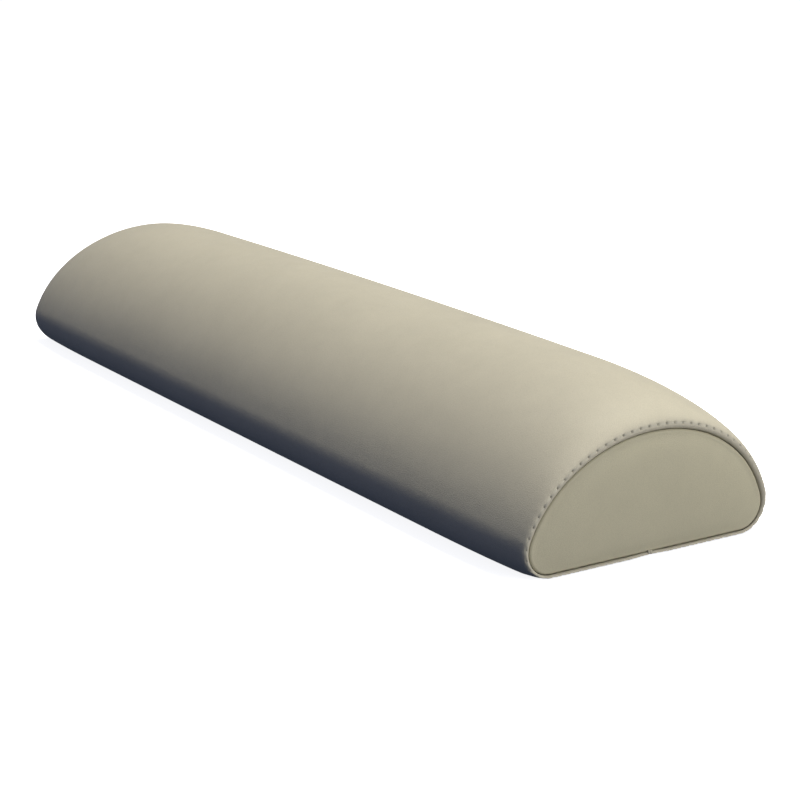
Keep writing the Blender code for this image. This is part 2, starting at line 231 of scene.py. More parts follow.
def tubes(paths: np.ndarray, radii: np.ndarray, up: np.ndarray, sides: int) -> Patch:
    """Tubes along many paths at once.

    A ring's point is the path's point + radius (cos a side + sin a rise), where side is
    tangent x up, rise is side x tangent, and a runs once round.

    Args:
        paths: (k, n, 3) points of k paths.
        radii: (n,) radius along every path. 0 at an end closes it.
        up: (k, n, 3), or anything that broadcasts to it, a direction that is never along the path.
        sides: points in each ring.

    Returns:
        One patch of k tubes.
    """
    tangent = unit(np.gradient(paths, axis=1))
    side = unit(np.cross(tangent, np.broadcast_to(up, paths.shape)))
    rise = np.cross(side, tangent)
    angle = np.arange(sides) * math.tau / sides
    reach = radii[None, :, None, None]
    ring = np.cos(angle)[:, None] * side[:, :, None, :] + np.sin(angle)[:, None] * rise[:, :, None, :]
    points = paths[:, :, None, :] + reach * ring
    first = grid_patch(points[0], wrap_columns=True)
    count, size = len(paths), len(first.points)
    quads = (first.quads[None] + size * np.arange(count)[:, None, None]).reshape(-1, 4)
    return Patch(points.reshape(-1, 3), quads, np.tile(first.uv, (count, 1, 1)))


def running_length(line: np.ndarray) -> np.ndarray:
    """Length run along a line of points, from 0 at its first point."""
    return np.concatenate(([0.0], np.cumsum(np.linalg.norm(np.diff(line, axis=0), axis=1))))


def smooth_step(share: np.ndarray) -> np.ndarray:
    """A share of 0 to 1, eased at both ends: 3 s^2 - 2 s^3."""
    return share * share * (3 - 2 * share)


def closed_radii(count: int, radius: float) -> np.ndarray:
    """One radius for every point of a path, and 0 at both ends, which closes the tube."""
    radii = np.full(count, radius)
    radii[[0, -1]] = 0
    return radii


def power_wave(angle: np.ndarray, power: float) -> tuple[np.ndarray, np.ndarray]:
    """Superellipse of half size 1: (|cos a|^(2/power), |sin a|^(2/power)), with their signs."""
    c, s = np.cos(angle), np.sin(angle)
    return np.sign(c) * np.abs(c) ** (2 / power), np.sign(s) * np.abs(s) ** (2 / power)


def rounded_block(low: tuple, high: tuple, power: float = 7.0, rings: int = 15, sides: int = 28) -> Patch:
    """A superellipsoid that fills a box: a superellipse over height times one round the upright axis."""
    low_corner, high_corner = np.array(low, float), np.array(high, float)
    height = np.linspace(-math.pi / 2, math.pi / 2, rings)
    turn = np.arange(sides) * math.tau / sides
    out, rise = power_wave(height, power)
    across, along = power_wave(turn, power)
    shape = np.empty((rings, sides, 3))
    shape[..., 0] = out[:, None] * across
    shape[..., 1] = out[:, None] * along
    shape[..., 2] = rise[:, None]
    return grid_patch(
        (low_corner + high_corner) / 2 + shape * (high_corner - low_corner) / 2, wrap_columns=True
    )


def make_object(name: str, patch: Patch, crease: float = 180.0) -> bpy.types.Object:
    """Puts a patch into the scene as a smooth mesh, with its poles merged.

    Args:
        name: name of the piece.
        patch: its surface.
        crease: angle in degrees past which an edge stays sharp.

    Returns:
        The new object, at the origin.
    """
    mesh = bpy.data.meshes.new(name)
    mesh.from_pydata(patch.points, [], patch.quads)
    layer = mesh.uv_layers.new(name="along")
    layer.data.foreach_set("uv", patch.uv.astype(np.float32).ravel())
    for mark, values in patch.marks.items():
        attribute = mesh.attributes.new(mark, "FLOAT", "POINT")
        attribute.data.foreach_set("value", values.astype(np.float32))
    merge_poles(mesh)
    mesh.shade_smooth()
    if crease < 180.0:
        mesh.set_sharp_from_angle(angle=math.radians(crease))
    obj = bpy.data.objects.new(name, mesh)
    bpy.context.scene.collection.objects.link(obj)
    return obj


def merge_poles(mesh: bpy.types.Mesh) -> None:
    """Merges points that lie on each other, so that rings of no size become poles."""
    bm = bmesh.new()
    bm.from_mesh(mesh)
    bmesh.ops.remove_doubles(bm, verts=bm.verts[:], dist=MERGE_DISTANCE)
    bm.to_mesh(mesh)
    bm.free()
    mesh.validate()


def face_outwards(mesh: bpy.types.Mesh) -> None:
    """Turns the faces of a closed mesh outwards."""
    bm = bmesh.new()
    bm.from_mesh(mesh)
    bmesh.ops.recalc_face_normals(bm, faces=bm.faces[:])
    bm.to_mesh(mesh)
    bm.free()


def evaluated_points(obj: bpy.types.Object) -> np.ndarray:
    """(n, 3) places of an object's points with its modifiers applied."""
    shown = obj.evaluated_get(bpy.context.evaluated_depsgraph_get())
    points = np.empty(len(shown.data.vertices) * 3, np.float32)
    shown.data.vertices.foreach_get("co", points)
    return points.reshape(-1, 3).astype(float)


def solidify(obj: bpy.types.Object, thickness: float) -> None:
    """Gives a sheet its thickness, inwards from the face that is there."""
    wall = obj.modifiers.new("wall", "SOLIDIFY")
    wall.thickness = thickness
    wall.offset = -1


# Finishes


@dataclass
class Nodes:
    """A node tree that is being laid out."""

    tree: bpy.types.NodeTree

    def add(self, kind: str, **settings: object) -> bpy.types.Node:
        """A new node, with its properties set, and its input sockets where the name is in quotes.

        Args:
            kind: the node's type, without its ShaderNode prefix.
            settings: properties, or inputs as a dict under the name inputs.

        Returns:
            The node.
        """
        node = self.tree.nodes.new(kind if kind.startswith("Node") else f"ShaderNode{kind}")
        inputs = settings.pop("inputs", {})
        for name, value in settings.items():
            setattr(node, name, value)
        for name, value in inputs.items():
            socket = node.inputs[name]
            if isinstance(value, bpy.types.NodeSocket):
                self.tree.links.new(value, socket)
            else:
                socket.default_value = value
        return node

    def math(
        self, operation: str, first: object, second: object = 0.0, third: object = 0.0
    ) -> bpy.types.NodeSocket:
        """The result of one calculation on numbers or sockets."""
        return self.add("Math", operation=operation, inputs={0: first, 1: second, 2: third}).outputs[0]

    def spread(
        self, value: object, low: float, high: float, to_low: float, to_high: float
    ) -> bpy.types.NodeSocket:
        """A value carried smoothly from one range to another, and held at its ends."""
        inputs = {"Value": value, "From Min": low, "From Max": high, "To Min": to_low, "To Max": to_high}
        return self.add("MapRange", interpolation_type="SMOOTHSTEP", inputs=inputs).outputs["Result"]

    def mix(self, share: object, first: object, second: object) -> bpy.types.NodeSocket:
        """One colour laid over another by a share."""
        node = self.add("Mix", data_type="RGBA", blend_type="MIX")
        for name, value in ((0, share), (6, first), (7, second)):
            if isinstance(value, bpy.types.NodeSocket):
                self.tree.links.new(value, node.inputs[name])
            else:
                node.inputs[name].default_value = value
        return node.outputs[2]

    def noise(self, place: bpy.types.NodeSocket, size: float, detail: float = 3.0) -> bpy.types.NodeSocket:
        """Soft random values around 0.5, whose lumps are about size metres across."""
        inputs = {"Vector": place, "Scale": 1 / size, "Detail": detail, "Roughness": 0.5}
        return self.add("TexNoise", inputs=inputs).outputs[0]

    def link(self, source: bpy.types.NodeSocket, target: bpy.types.NodeSocket) -> None:
        """Joins two sockets."""
        self.tree.links.new(source, target)


def new_group(
    name: str, takes: dict[str, tuple[str, object]], gives: list[str]
) -> tuple[bpy.types.NodeTree, Nodes, bpy.types.Node, bpy.types.Node]:
    """An empty shader group with named sockets.

    Args:
        name: the group's name.
        takes: input name to (socket type without prefix, default value or None).
        gives: names of its number outputs.

    Returns:
        The tree, its layout helper, its input node and its output node.
    """
    tree = bpy.data.node_groups.new(name, "ShaderNodeTree")
    for socket_name, (kind, default) in takes.items():
        socket = tree.interface.new_socket(socket_name, in_out="INPUT", socket_type=f"NodeSocket{kind}")
        if default is not None:
            socket.default_value = default
    for socket_name in gives:
        tree.interface.new_socket(socket_name, in_out="OUTPUT", socket_type="NodeSocketFloat")
    nodes = Nodes(tree)
    return tree, nodes, nodes.add("NodeGroupInput"), nodes.add("NodeGroupOutput")


def grain_group() -> bpy.types.NodeTree:
    """Embossed grain: flat-topped cells parted by fine valleys, broken up by noise. Gives Height and Valley,
    the mask for the shade painted into the valleys.
    """
    tree, nodes, source, sink = new_group(
        "embossed grain", {"Place": ("Vector", None), "Cells": ("Float", 1400.0)}, ["Height", "Valley"]
    )
    place, cells = source.outputs["Place"], source.outputs["Cells"]
    bent = nodes.add(
        "TexNoise", inputs={"Vector": place, "Scale": nodes.math("MULTIPLY", cells, 0.6), "Detail": 2.0}
    )
    shift = nodes.add("VectorMath", operation="SCALE", inputs={0: bent.outputs["Color"], "Scale": 0.0006})
    moved = nodes.add("VectorMath", operation="ADD", inputs={0: place, 1: shift.outputs[0]})
    cell = nodes.add(
        "TexVoronoi", feature="DISTANCE_TO_EDGE", inputs={"Vector": moved.outputs[0], "Scale": cells}
    )
    top = nodes.spread(cell.outputs["Distance"], 0.0, 0.28, 0.0, 1.0)
    fine = nodes.add(
        "TexNoise", inputs={"Vector": place, "Scale": nodes.math("MULTIPLY", cells, 3.0), "Detail": 3.0}
    )
    nodes.link(nodes.math("ADD", top, nodes.math("MULTIPLY", fine.outputs[0], 0.5)), sink.inputs["Height"])
    nodes.link(nodes.math("SUBTRACT", 1.0, top), sink.inputs["Valley"])
    return tree


def cloud_group() -> bpy.types.NodeTree:
    """Uneven colour: broad clouds with smaller ones over them. Gives Shade, around 0.5, and Speck."""
    tree, nodes, source, sink = new_group(
        "uneven colour", {"Place": ("Vector", None), "Broad": ("Float", 12.0)}, ["Shade", "Speck"]
    )
    place, broad = source.outputs["Place"], source.outputs["Broad"]
    wide = nodes.add("TexNoise", inputs={"Vector": place, "Scale": broad, "Detail": 2.0})
    small = nodes.add(
        "TexNoise", inputs={"Vector": place, "Scale": nodes.math("MULTIPLY", broad, 9.0), "Detail": 4.0}
    )
    speck = nodes.add(
        "TexNoise", inputs={"Vector": place, "Scale": nodes.math("MULTIPLY", broad, 90.0), "Detail": 2.0}
    )
    mixed = nodes.math(
        "ADD", nodes.math("MULTIPLY", wide.outputs[0], 0.65), nodes.math("MULTIPLY", small.outputs[0], 0.35)
    )
    nodes.link(mixed, sink.inputs["Shade"])
    nodes.link(nodes.spread(speck.outputs[0], 0.60, 0.72, 0.0, 1.0), sink.inputs["Speck"])
    return tree


def twist_group() -> bpy.types.NodeTree:
    """Twisted yarn: strands that climb round the thread. Gives Height and Gap, the mask for painted shade
    between strands.
    """
    tree, nodes, source, sink = new_group(
        "twisted yarn", {"Along": ("Vector", None), "Twists": ("Float", 1200.0)}, ["Height", "Gap"]
    )
    parts = nodes.add("SeparateXYZ", inputs={0: source.outputs["Along"]})
    climb = nodes.math(
        "MULTIPLY", nodes.math("ADD", parts.outputs[0], parts.outputs[1]), source.outputs["Twists"]
    )
    wave = nodes.math("ABSOLUTE", nodes.math("SINE", nodes.math("MULTIPLY", climb, math.pi)))
    hair = nodes.add("TexNoise", inputs={"Vector": source.outputs["Along"], "Scale": 9000.0, "Detail": 3.0})
    nodes.link(nodes.math("ADD", wave, nodes.math("MULTIPLY", hair.outputs[0], 0.4)), sink.inputs["Height"])
    nodes.link(nodes.spread(wave, 0.0, 0.55, 1.0, 0.0), sink.inputs["Gap"])
    return tree


def weave_group() -> bpy.types.NodeTree:
    """Twill tape: ribs that lean over from each yarn to the next. Gives Height and Gap, the mask for painted
    shade between the yarns.
    """
    tree, nodes, source, sink = new_group(
        "twill weave", {"Place": ("Vector", None), "Yarns": ("Float", 2200.0)}, ["Height", "Gap"]
    )
    parts = nodes.add("SeparateXYZ", inputs={0: source.outputs["Place"]})
    yarns = source.outputs["Yarns"]
    across = nodes.math(
        "SINE", nodes.math("MULTIPLY", parts.outputs[1], nodes.math("MULTIPLY", yarns, math.pi))
    )
    lean = nodes.math("ADD", parts.outputs[0], nodes.math("ABSOLUTE", parts.outputs[1]))
    along = nodes.math("SINE", nodes.math("MULTIPLY", lean, nodes.math("MULTIPLY", yarns, math.pi)))
    height = nodes.math("MULTIPLY", nodes.math("ABSOLUTE", across), nodes.math("ABSOLUTE", along))
    nodes.link(height, sink.inputs["Height"])
    nodes.link(nodes.spread(height, 0.0, 0.35, 1.0, 0.0), sink.inputs["Gap"])
    return tree


def shared_group(build: Callable[[], bpy.types.NodeTree], name: str) -> bpy.types.NodeTree:
    """A shader group, built the first time it is asked for."""
    return bpy.data.node_groups.get(name) or build()


@dataclass(frozen=True)
class Finish:
    """A material: its colour in linear light, and its shader's plain values."""

    name: str
    colour: tuple[float, float, float]
    roughness: float
    metallic: float = 0.0
    specular: float = 0.5

    def material(self) -> bpy.types.Material:
        """The material, built once."""
        found = bpy.data.materials.get(self.name)
        if found:
            return found
        made = bpy.data.materials.new(self.name)
        made.use_nodes = True
        nodes = Nodes(made.node_tree)
        shader = made.node_tree.nodes["Principled BSDF"]
        shader.inputs["Metallic"].default_value = self.metallic
        shader.inputs["Specular IOR Level"].default_value = self.specular
        self.dress(nodes, shader)
        return made

    def dress(self, nodes: Nodes, shader: bpy.types.Node) -> None:
        """Lays out the finish's own detail. The plain one has only uneven colour."""
        self.tint(nodes, shader, 0.06, 12.0)

    def place(self, nodes: Nodes) -> bpy.types.NodeSocket:
        """Object coordinates."""
        return nodes.add("TexCoord").outputs["Object"]

    def group(self, nodes: Nodes, tree: bpy.types.NodeTree, **inputs: object) -> bpy.types.Node:
        """One use of a shared group, with its own values."""
        return nodes.add("Group", node_tree=tree, inputs=inputs)

    def tint(self, nodes: Nodes, shader: bpy.types.Node, amount: float, broad: float) -> bpy.types.NodeSocket:
        """Base colour and roughness that vary a little over the surface.

        Args:
            nodes: the material's layout.
            shader: its Principled BSDF.
            amount: how far the brightness strays from the finish's colour, as a share.
            broad: how many clouds there are to a metre.

        Returns:
            The colour's socket, for more to be laid over it.
        """
        cloud = self.group(
            nodes, shared_group(cloud_group, "uneven colour"), Place=self.place(nodes), Broad=broad
        )
        dark = tuple(c * (1 - amount) for c in self.colour)
        light = tuple(c * (1 + amount) for c in self.colour)
        colour = nodes.mix(nodes.spread(cloud.outputs["Shade"], 0.3, 0.7, 0.0, 1.0), (*dark, 1), (*light, 1))
        nodes.link(colour, shader.inputs["Base Color"])
        rough = nodes.spread(cloud.outputs["Shade"], 0.3, 0.7, self.roughness + 0.04, self.roughness - 0.04)
        nodes.link(rough, shader.inputs["Roughness"])
        return colour

    def bump(self, nodes: Nodes, shader: bpy.types.Node, height: bpy.types.NodeSocket, depth: float) -> None:
        """Relief from a height of 0 to 1 that stands depth metres tall."""
        node = nodes.add("Bump", inputs={"Height": height, "Distance": depth, "Strength": 1.0})
        nodes.link(node.outputs["Normal"], shader.inputs["Normal"])


@dataclass(frozen=True)
class VinylFinish(Finish):
    """Embossed upholstery vinyl, with painted shade where it dives into a seam or a needle hole and in its
    grain's valleys, polished where it rubs.
    """

    grain_depth: float = 0.00007
    cells: float = 1300.0
    # colour of the painted shade in the seams, the needle holes and the grain's valleys
    painted_shade: tuple[float, float, float] = (0.10, 0.09, 0.055)

    def dress(self, nodes: Nodes, shader: bpy.types.Node) -> None:
        """Grain, clouds, painted shade in the creases and the grain's valleys, and worn edges, from the
        cover's marks.
        """
        place = self.place(nodes)
        colour = self.tint(nodes, shader, 0.035, 9.0)
        grain = self.group(nodes, shared_group(grain_group, "embossed grain"), Place=place, Cells=self.cells)
        crease = nodes.add("Attribute", attribute_name="crease").outputs["Fac"]
        wear = nodes.add("Attribute", attribute_name="wear").outputs["Fac"]
        # painted shade in the grain's valleys
        valley = nodes.math("MULTIPLY", grain.outputs["Valley"], 0.10)
        colour = nodes.mix(valley, colour, (*self.painted_shade, 1))
        worn = tuple(min(1.0, c * 1.10) for c in self.colour)
        rubbed = nodes.math("MULTIPLY", wear, nodes.spread(nodes.noise(place, 0.004), 0.35, 0.65, 0.2, 1.0))
        colour = nodes.mix(nodes.math("MULTIPLY", rubbed, 0.5), colour, (*worn, 1))
        # painted shade in the seams, needle holes and hem folds, from the crease mark
        colour = nodes.mix(nodes.math("MULTIPLY", crease, 0.85), colour, (*self.painted_shade, 1))
        nodes.link(colour, shader.inputs["Base Color"])
        base = nodes.spread(nodes.noise(place, 0.02), 0.3, 0.7, self.roughness - 0.05, self.roughness + 0.05)
        polished = nodes.math("SUBTRACT", base, nodes.math("MULTIPLY", rubbed, 0.12))
        nodes.link(nodes.math("MAXIMUM", polished, crease), shader.inputs["Roughness"])
        stretch = nodes.math("MULTIPLY", nodes.noise(place, 0.006, 2.0), 0.8)
        self.bump(nodes, shader, nodes.math("ADD", grain.outputs["Height"], stretch), self.grain_depth)


@dataclass(frozen=True)
class ThreadFinish(Finish):
    """Twisted polyester sewing thread."""

    twists: float = 1100.0

    def dress(self, nodes: Nodes, shader: bpy.types.Node) -> None:
        """Strands from the tube's own UV, with painted shade in the gaps between them."""
        colour = self.tint(nodes, shader, 0.06, 60.0)
        along = nodes.add("UVMap", uv_map="along").outputs["UV"]
        yarn = self.group(nodes, shared_group(twist_group, "twisted yarn"), Along=along, Twists=self.twists)
        # painted shade in the gaps between the strands
        dark = tuple(c * 0.55 for c in self.colour)
        nodes.link(
            nodes.mix(nodes.math("MULTIPLY", yarn.outputs["Gap"], 0.6), colour, (*dark, 1)),
            shader.inputs["Base Color"],
        )
        shader.inputs["Sheen Weight"].default_value = 0.15
        self.bump(nodes, shader, yarn.outputs["Height"], 0.00008)


@dataclass(frozen=True)
class TapeFinish(Finish):
    """Woven polyester zip tape."""

    def dress(self, nodes: Nodes, shader: bpy.types.Node) -> None:
        """Twill ribs on object coordinates, with painted shade between the yarns."""
        colour = self.tint(nodes, shader, 0.05, 30.0)
        weave = self.group(
            nodes, shared_group(weave_group, "twill weave"), Place=self.place(nodes), Yarns=1500.0
        )
        # painted shade in the low gaps between the yarns
        dark = tuple(c * 0.5 for c in self.colour)
        nodes.link(
            nodes.mix(nodes.math("MULTIPLY", weave.outputs["Gap"], 0.7), colour, (*dark, 1)),
            shader.inputs["Base Color"],
        )
        shader.inputs["Sheen Weight"].default_value = 0.2
        self.bump(nodes, shader, weave.outputs["Height"], 0.00015)


@dataclass(frozen=True)
class FoamFinish(Finish):
    """Open-cell foam: round pores of two sizes, with painted shade inside them."""

    pore: float = 0.0014

    def dress(self, nodes: Nodes, shader: bpy.types.Node) -> None:
        """Pores from two sizes of cell."""
        place = self.place(nodes)
        colour = self.tint(nodes, shader, 0.05, 15.0)
        large = nodes.add("TexVoronoi", inputs={"Vector": place, "Scale": 1 / self.pore}).outputs["Distance"]
        small = nodes.add(
            "TexVoronoi", inputs={"Vector": place, "Scale": 2.7 / self.pore}
        ).outputs["Distance"]
        wall = nodes.spread(
            nodes.math("MULTIPLY", large, nodes.math("ADD", small, 0.4)), 0.05, 0.35, 0.0, 1.0
        )
        # painted shade inside the pores, full colour on the walls between them
        dark = tuple(c * 0.45 for c in self.colour)
        nodes.link(nodes.mix(wall, (*dark, 1), colour), shader.inputs["Base Color"])
        self.bump(nodes, shader, wall, 0.0004)


@dataclass(frozen=True)
class FibreFinish(Finish):
    """Polyester wadding: matted fibres that run mostly along the sheet."""

    def dress(self, nodes: Nodes, shader: bpy.types.Node) -> None:
        """Long thin noise in two directions, for fibres over fibres."""
        place = self.place(nodes)
        colour = self.tint(nodes, shader, 0.04, 20.0)
        heights = []
        for turn, stretch in ((0.3, (60, 1500, 1500)), (-0.5, (90, 1100, 1100))):
            laid = nodes.add("Mapping", inputs={"Vector": place, "Rotation": (0, 0, turn), "Scale": stretch})
            heights.append(
                nodes.add(
                    "TexNoise", inputs={"Vector": laid.outputs[0], "Scale": 1.0, "Detail": 4.0}
                ).outputs[0]
            )
        fibre = nodes.math("MULTIPLY", nodes.math("ADD", *heights), 0.5)
        dark = tuple(c * 0.7 for c in self.colour)
        nodes.link(
            nodes.mix(nodes.spread(fibre, 0.35, 0.55, 0.0, 1.0), (*dark, 1), colour),
            shader.inputs["Base Color"],
        )
        shader.inputs["Sheen Weight"].default_value = 0.3
        self.bump(nodes, shader, fibre, 0.0008)


@dataclass(frozen=True)
class NylonFinish(Finish):
    """Drawn nylon monofilament, with faint draw lines round the wire."""

    def dress(self, nodes: Nodes, shader: bpy.types.Node) -> None:
        """Fine streaks along each wire from its UV."""
        self.tint(nodes, shader, 0.06, 80.0)
        along = nodes.add("UVMap", uv_map="along").outputs["UV"]
        streaks = nodes.add("Mapping", inputs={"Vector": along, "Scale": (9000, 300, 1)})
        fine = nodes.add(
            "TexNoise", inputs={"Vector": streaks.outputs[0], "Scale": 1.0, "Detail": 2.0}
        ).outputs[0]
        shader.inputs["Coat Weight"].default_value = 0.2
        self.bump(nodes, shader, fine, 0.00003)


@dataclass(frozen=True)
class NickelFinish(Finish):
    """Plated metal, with fine scratches and dulled patches where fingers hold it."""

    dull: tuple[float, float, float] = (0.40, 0.38, 0.34)

    def dress(self, nodes: Nodes, shader: bpy.types.Node) -> None:
        """Scratches from noise drawn out one way, and tarnish in clouds."""
        place = self.place(nodes)
        cloud = self.group(nodes, shared_group(cloud_group, "uneven colour"), Place=place, Broad=140.0)
        tarnish = nodes.spread(cloud.outputs["Shade"], 0.45, 0.62, 0.0, 0.6)
        nodes.link(nodes.mix(tarnish, (*self.colour, 1), (*self.dull, 1)), shader.inputs["Base Color"])
        drawn = nodes.add("Mapping", inputs={"Vector": place, "Scale": (300, 9000, 2000)})
        scratch = nodes.add(
            "TexNoise", inputs={"Vector": drawn.outputs[0], "Scale": 1.0, "Detail": 3.0}
        ).outputs[0]
        nodes.link(
            nodes.math(
                "ADD",
                nodes.math("MULTIPLY", tarnish, 0.25),
                nodes.spread(scratch, 0.4, 0.7, self.roughness, self.roughness + 0.15),
            ),
            shader.inputs["Roughness"],
        )
        self.bump(nodes, shader, scratch, 0.00001)


VINYL = VinylFinish("cream vinyl", (0.60, 0.555, 0.415), 0.56, specular=0.35)
END_VINYL = VinylFinish("cream vinyl of the ends", (0.61, 0.565, 0.385), 0.60, specular=0.3)
THREAD = ThreadFinish("cream thread", (0.62, 0.585, 0.46), 0.6)
TAPE = TapeFinish("sand zip tape", (0.42, 0.38, 0.29), 0.85)
FOAM = FoamFinish("cream foam", (0.78, 0.73, 0.58), 0.95)
WADDING = FibreFinish("white wadding", (0.86, 0.86, 0.84), 0.95)
NYLON = NylonFinish("sand nylon", (0.50, 0.46, 0.36), 0.38)
NICKEL = NickelFinish("nickel plate", (0.66, 0.64, 0.60), 0.26, metallic=1.0)


def set_piece(obj: bpy.types.Object, finish: Finish, slot: Slot, body: Body, *nodes: str) -> bpy.types.Object:
    """Gives a piece its finish and its body, and lets it stand for its CAD nodes."""
    obj.data.materials.clear()
    obj.data.materials.append(finish.material())
    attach(obj, body.value)
    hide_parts(*nodes)
    faces = len(obj.data.polygons)
    LOG.info("%s: %d faces, stands for %s on %s", obj.name, faces, ", ".join(nodes), body.value)
    return obj


# The cover's shape


@dataclass(frozen=True)
class Lanes:
    """Where a half section's points lie, from the hem to the top of the arch: shares of four stretches."""

    hem: np.ndarray
    flat: np.ndarray
    corner: np.ndarray
    arch: np.ndarray

    def count(self) -> int:
        """How many points the half section has."""
        return len(self.hem) + len(self.flat) + len(self.corner) + len(self.arch)


@dataclass(frozen=True)
class CoverForm:
    """Outer face of the closed cover, as a section that changes along X.

    The section is a superellipse arch on a flat base, with a round corner between them. Towards each rim
    it closes in along a quarter ellipse. The base is open along the zip, where each edge is folded back.
    """

    rim_x: float
    width: float = 0.2090
    height: float = 0.102
    body_power: float = 1.85
    rim_power: float = 2.03
    body_corner: float = 0.022
    rim_corner: float = 0.018
    body_crown: float = 0.0015
    roll_length: float = 0.100
    rim_side_drop: float = 0.0098
    rim_top_drop: float = 0.0240
    rim_lift: float = 0.0010
    flange_width: float = 0.012
    vinyl: float = 0.0012
    hem_gap: float = 0.013
    hem_fold: float = 0.0012
    hem_back: float = 0.006
    hem_lap: float = 0.003
    hem_slope: float = 0.008
    hem_dip: float = 0.0043
    seam_gap: float = 0.0007
    seam_dip: float = 0.0003
    zip_end: float = 0.272
    seam_start: float = 0.288
    base_lip: float = 0.55
    lip_rise: float = 0.030
    hem_narrowing: float = 0.6

    def closing(self, x: np.ndarray) -> np.ndarray:
        """How far the section has closed in at x: 1 - sqrt(1 - s^2), where s runs from 0 to 1 over the roll.
        """
        share = np.clip((np.abs(x) - self.rim_x + self.roll_length) / self.roll_length, 0, 1)
        return 1 - np.sqrt(1 - share**2)

    def lift(self, x: np.ndarray) -> np.ndarray:
        """Height of the base above its plane, which rises only over the end panel's flange."""
        return self.rim_lift * np.clip((np.abs(x) - self.rim_x + self.flange_width) / self.flange_width, 0, 1)

    def lip_share(self, height: np.ndarray) -> np.ndarray:
        """How much of its full size the seam's roll has at a height on the rim: least along the base."""
        rise = np.clip(height / self.lip_rise, 0, 1)
        return self.base_lip + (1 - self.base_lip) * rise * rise * (3 - 2 * rise)

    def arch(
        self, angle: np.ndarray, half: np.ndarray, height: np.ndarray, power: np.ndarray
    ) -> tuple[np.ndarray, np.ndarray]:
        """Superellipse: (half |cos a|^(2/power), height |sin a|^(2/power))."""
        return half * np.abs(np.cos(angle)) ** (2 / power), height * np.abs(np.sin(angle)) ** (2 / power)

    def fillet(
        self, half: np.ndarray, height: np.ndarray, power: np.ndarray, radius: np.ndarray
    ) -> tuple[np.ndarray, ...]:
        """Where a round corner that rests on the base meets the arch, found by halving the angle's range.

        Args:
            half: half width of each section.
            height: height of each section.
            power: its superellipse's exponent.
            radius: its corner's radius.

        Returns:
            The arch's angle, the corner's centre (y, z), and the corner's last angle.
        """
        low, high = np.full_like(half, 1e-4), np.full_like(half, math.pi / 4)
        for _ in range(40):
            angle = (low + high) / 2
            y, z = self.arch(angle, half, height, power)
            steep_y, steep_z = (y / half) ** (power - 1) / half, (z / height) ** (power - 1) / height
            size = np.hypot(steep_y, steep_z)
            centre_y, centre_z = y - radius * steep_y / size, z - radius * steep_z / size
            under = centre_z < radius
            low, high = np.where(under, angle, low), np.where(under, high, angle)
        return angle, centre_y, centre_z, np.arctan2(steep_z, steep_y)

    def hem_taper(self, x: np.ndarray) -> np.ndarray:
        """How far the hem has narrowed, from 0 where the sewn seam starts to 1 at the end panel's flange."""
        return np.clip(
            (np.abs(x) - self.seam_start) / (self.rim_x - self.flange_width - self.seam_start), 0, 1
        )

    def hem(self, x: np.ndarray, share: np.ndarray) -> tuple[np.ndarray, np.ndarray]:
        """Folded edge beside the zip: turned-back layer, half a circle, flat lap, then a smooth slope to the
        base.
        """
        gap = np.interp(
            np.abs(x), (self.zip_end, self.seam_start), (self.hem_gap / 2, self.seam_gap / 2)
        )[:, None]
        dip = np.interp(np.abs(x), (self.zip_end, self.seam_start), (self.hem_dip, self.seam_dip))[:, None]
        taper = self.hem_taper(x)[:, None]
        fold = self.hem_fold * (1 - self.hem_narrowing * taper)
        back = np.clip(1 - share / 0.2, 0, 1)
        turn = math.pi * np.clip((share - 0.2) / 0.25, 0, 1)
        lap = np.clip((share - 0.45) / 0.15, 0, 1)
        slope = np.clip((share - 0.6) / 0.4, 0, 1)
        eased = smooth_step(slope)
        y = (
            gap + fold + self.hem_back * (1 - 0.9 * taper) * back - fold * np.sin(turn) + self.hem_lap * lap
            + self.hem_slope * slope
        )
        z = dip * (1 - eased) + fold * (1 + np.cos(turn))
        return y, z

    def half_section(self, x: np.ndarray, lanes: Lanes) -> np.ndarray:
        """(rows, points, 2) places (y, z) of the half section at each x, from the hem to the top."""
        close = self.closing(x)[:, None]
        crown = self.body_crown * np.clip(np.abs(x) / (self.rim_x - self.roll_length), 0, 1)[:, None] ** 2
        lift = self.lift(x)[:, None]
        half = self.width / 2 - self.rim_side_drop * close
        height = self.height - crown - (self.rim_top_drop - self.body_crown) * close - lift
        power = self.body_power + (self.rim_power - self.body_power) * close
        radius = self.body_corner + (self.rim_corner - self.body_corner) * close
        start, centre_y, centre_z, end = self.fillet(half, height, power, radius)
        hem_y, hem_z = self.hem(x, lanes.hem)
        flat_from = hem_y[:, -1:]
        flat_y = flat_from + (centre_y - flat_from) * lanes.flat
        turn = -math.pi / 2 + (end + math.pi / 2) * lanes.corner
        arch_y, arch_z = self.arch(start + (math.pi / 2 - start) * lanes.arch, half, height, power)
        y = np.concatenate((hem_y, flat_y, centre_y + radius * np.cos(turn), arch_y), axis=1)
        z = np.concatenate((hem_z, 0 * flat_y, centre_z + radius * np.sin(turn), arch_z), axis=1)
        return np.stack((y, z + lift), axis=2)

    def section(self, x: np.ndarray, lanes: Lanes) -> np.ndarray:
        """(rows, columns, 3) points from the front hem over the top to the rear hem."""
        half = self.half_section(x, lanes)
        front, rear = half * np.array([-1, 1]), half[:, -2::-1]
        flat = np.concatenate((front, rear), axis=1)
        return np.concatenate((np.broadcast_to(x[:, None, None], (*flat.shape[:2], 1)), flat), axis=2)


@dataclass(frozen=True)
class StitchPlan:
    """Where the needle went through round each end: hole after hole along the stitch row."""

    form: CoverForm
    inset: float = 0.00018
    pitch: float = 0.0065
    stray: float = 0.035
    seed: int = 7

    def row_x(self) -> float:
        """Distance of the row from the middle of the bolster."""
        return self.form.rim_x - self.inset

    def holes(self, length: float) -> np.ndarray:
        """Running lengths of the holes along a half outline, each strayed a little from its place."""
        count = int(length / self.pitch)
        places = (np.arange(count + 1) + (length / self.pitch - count)) * self.pitch
        drift = np.random.default_rng(self.seed).uniform(-self.stray, self.stray, count + 1) * self.pitch
        drift[-1] = 0
        return places + drift


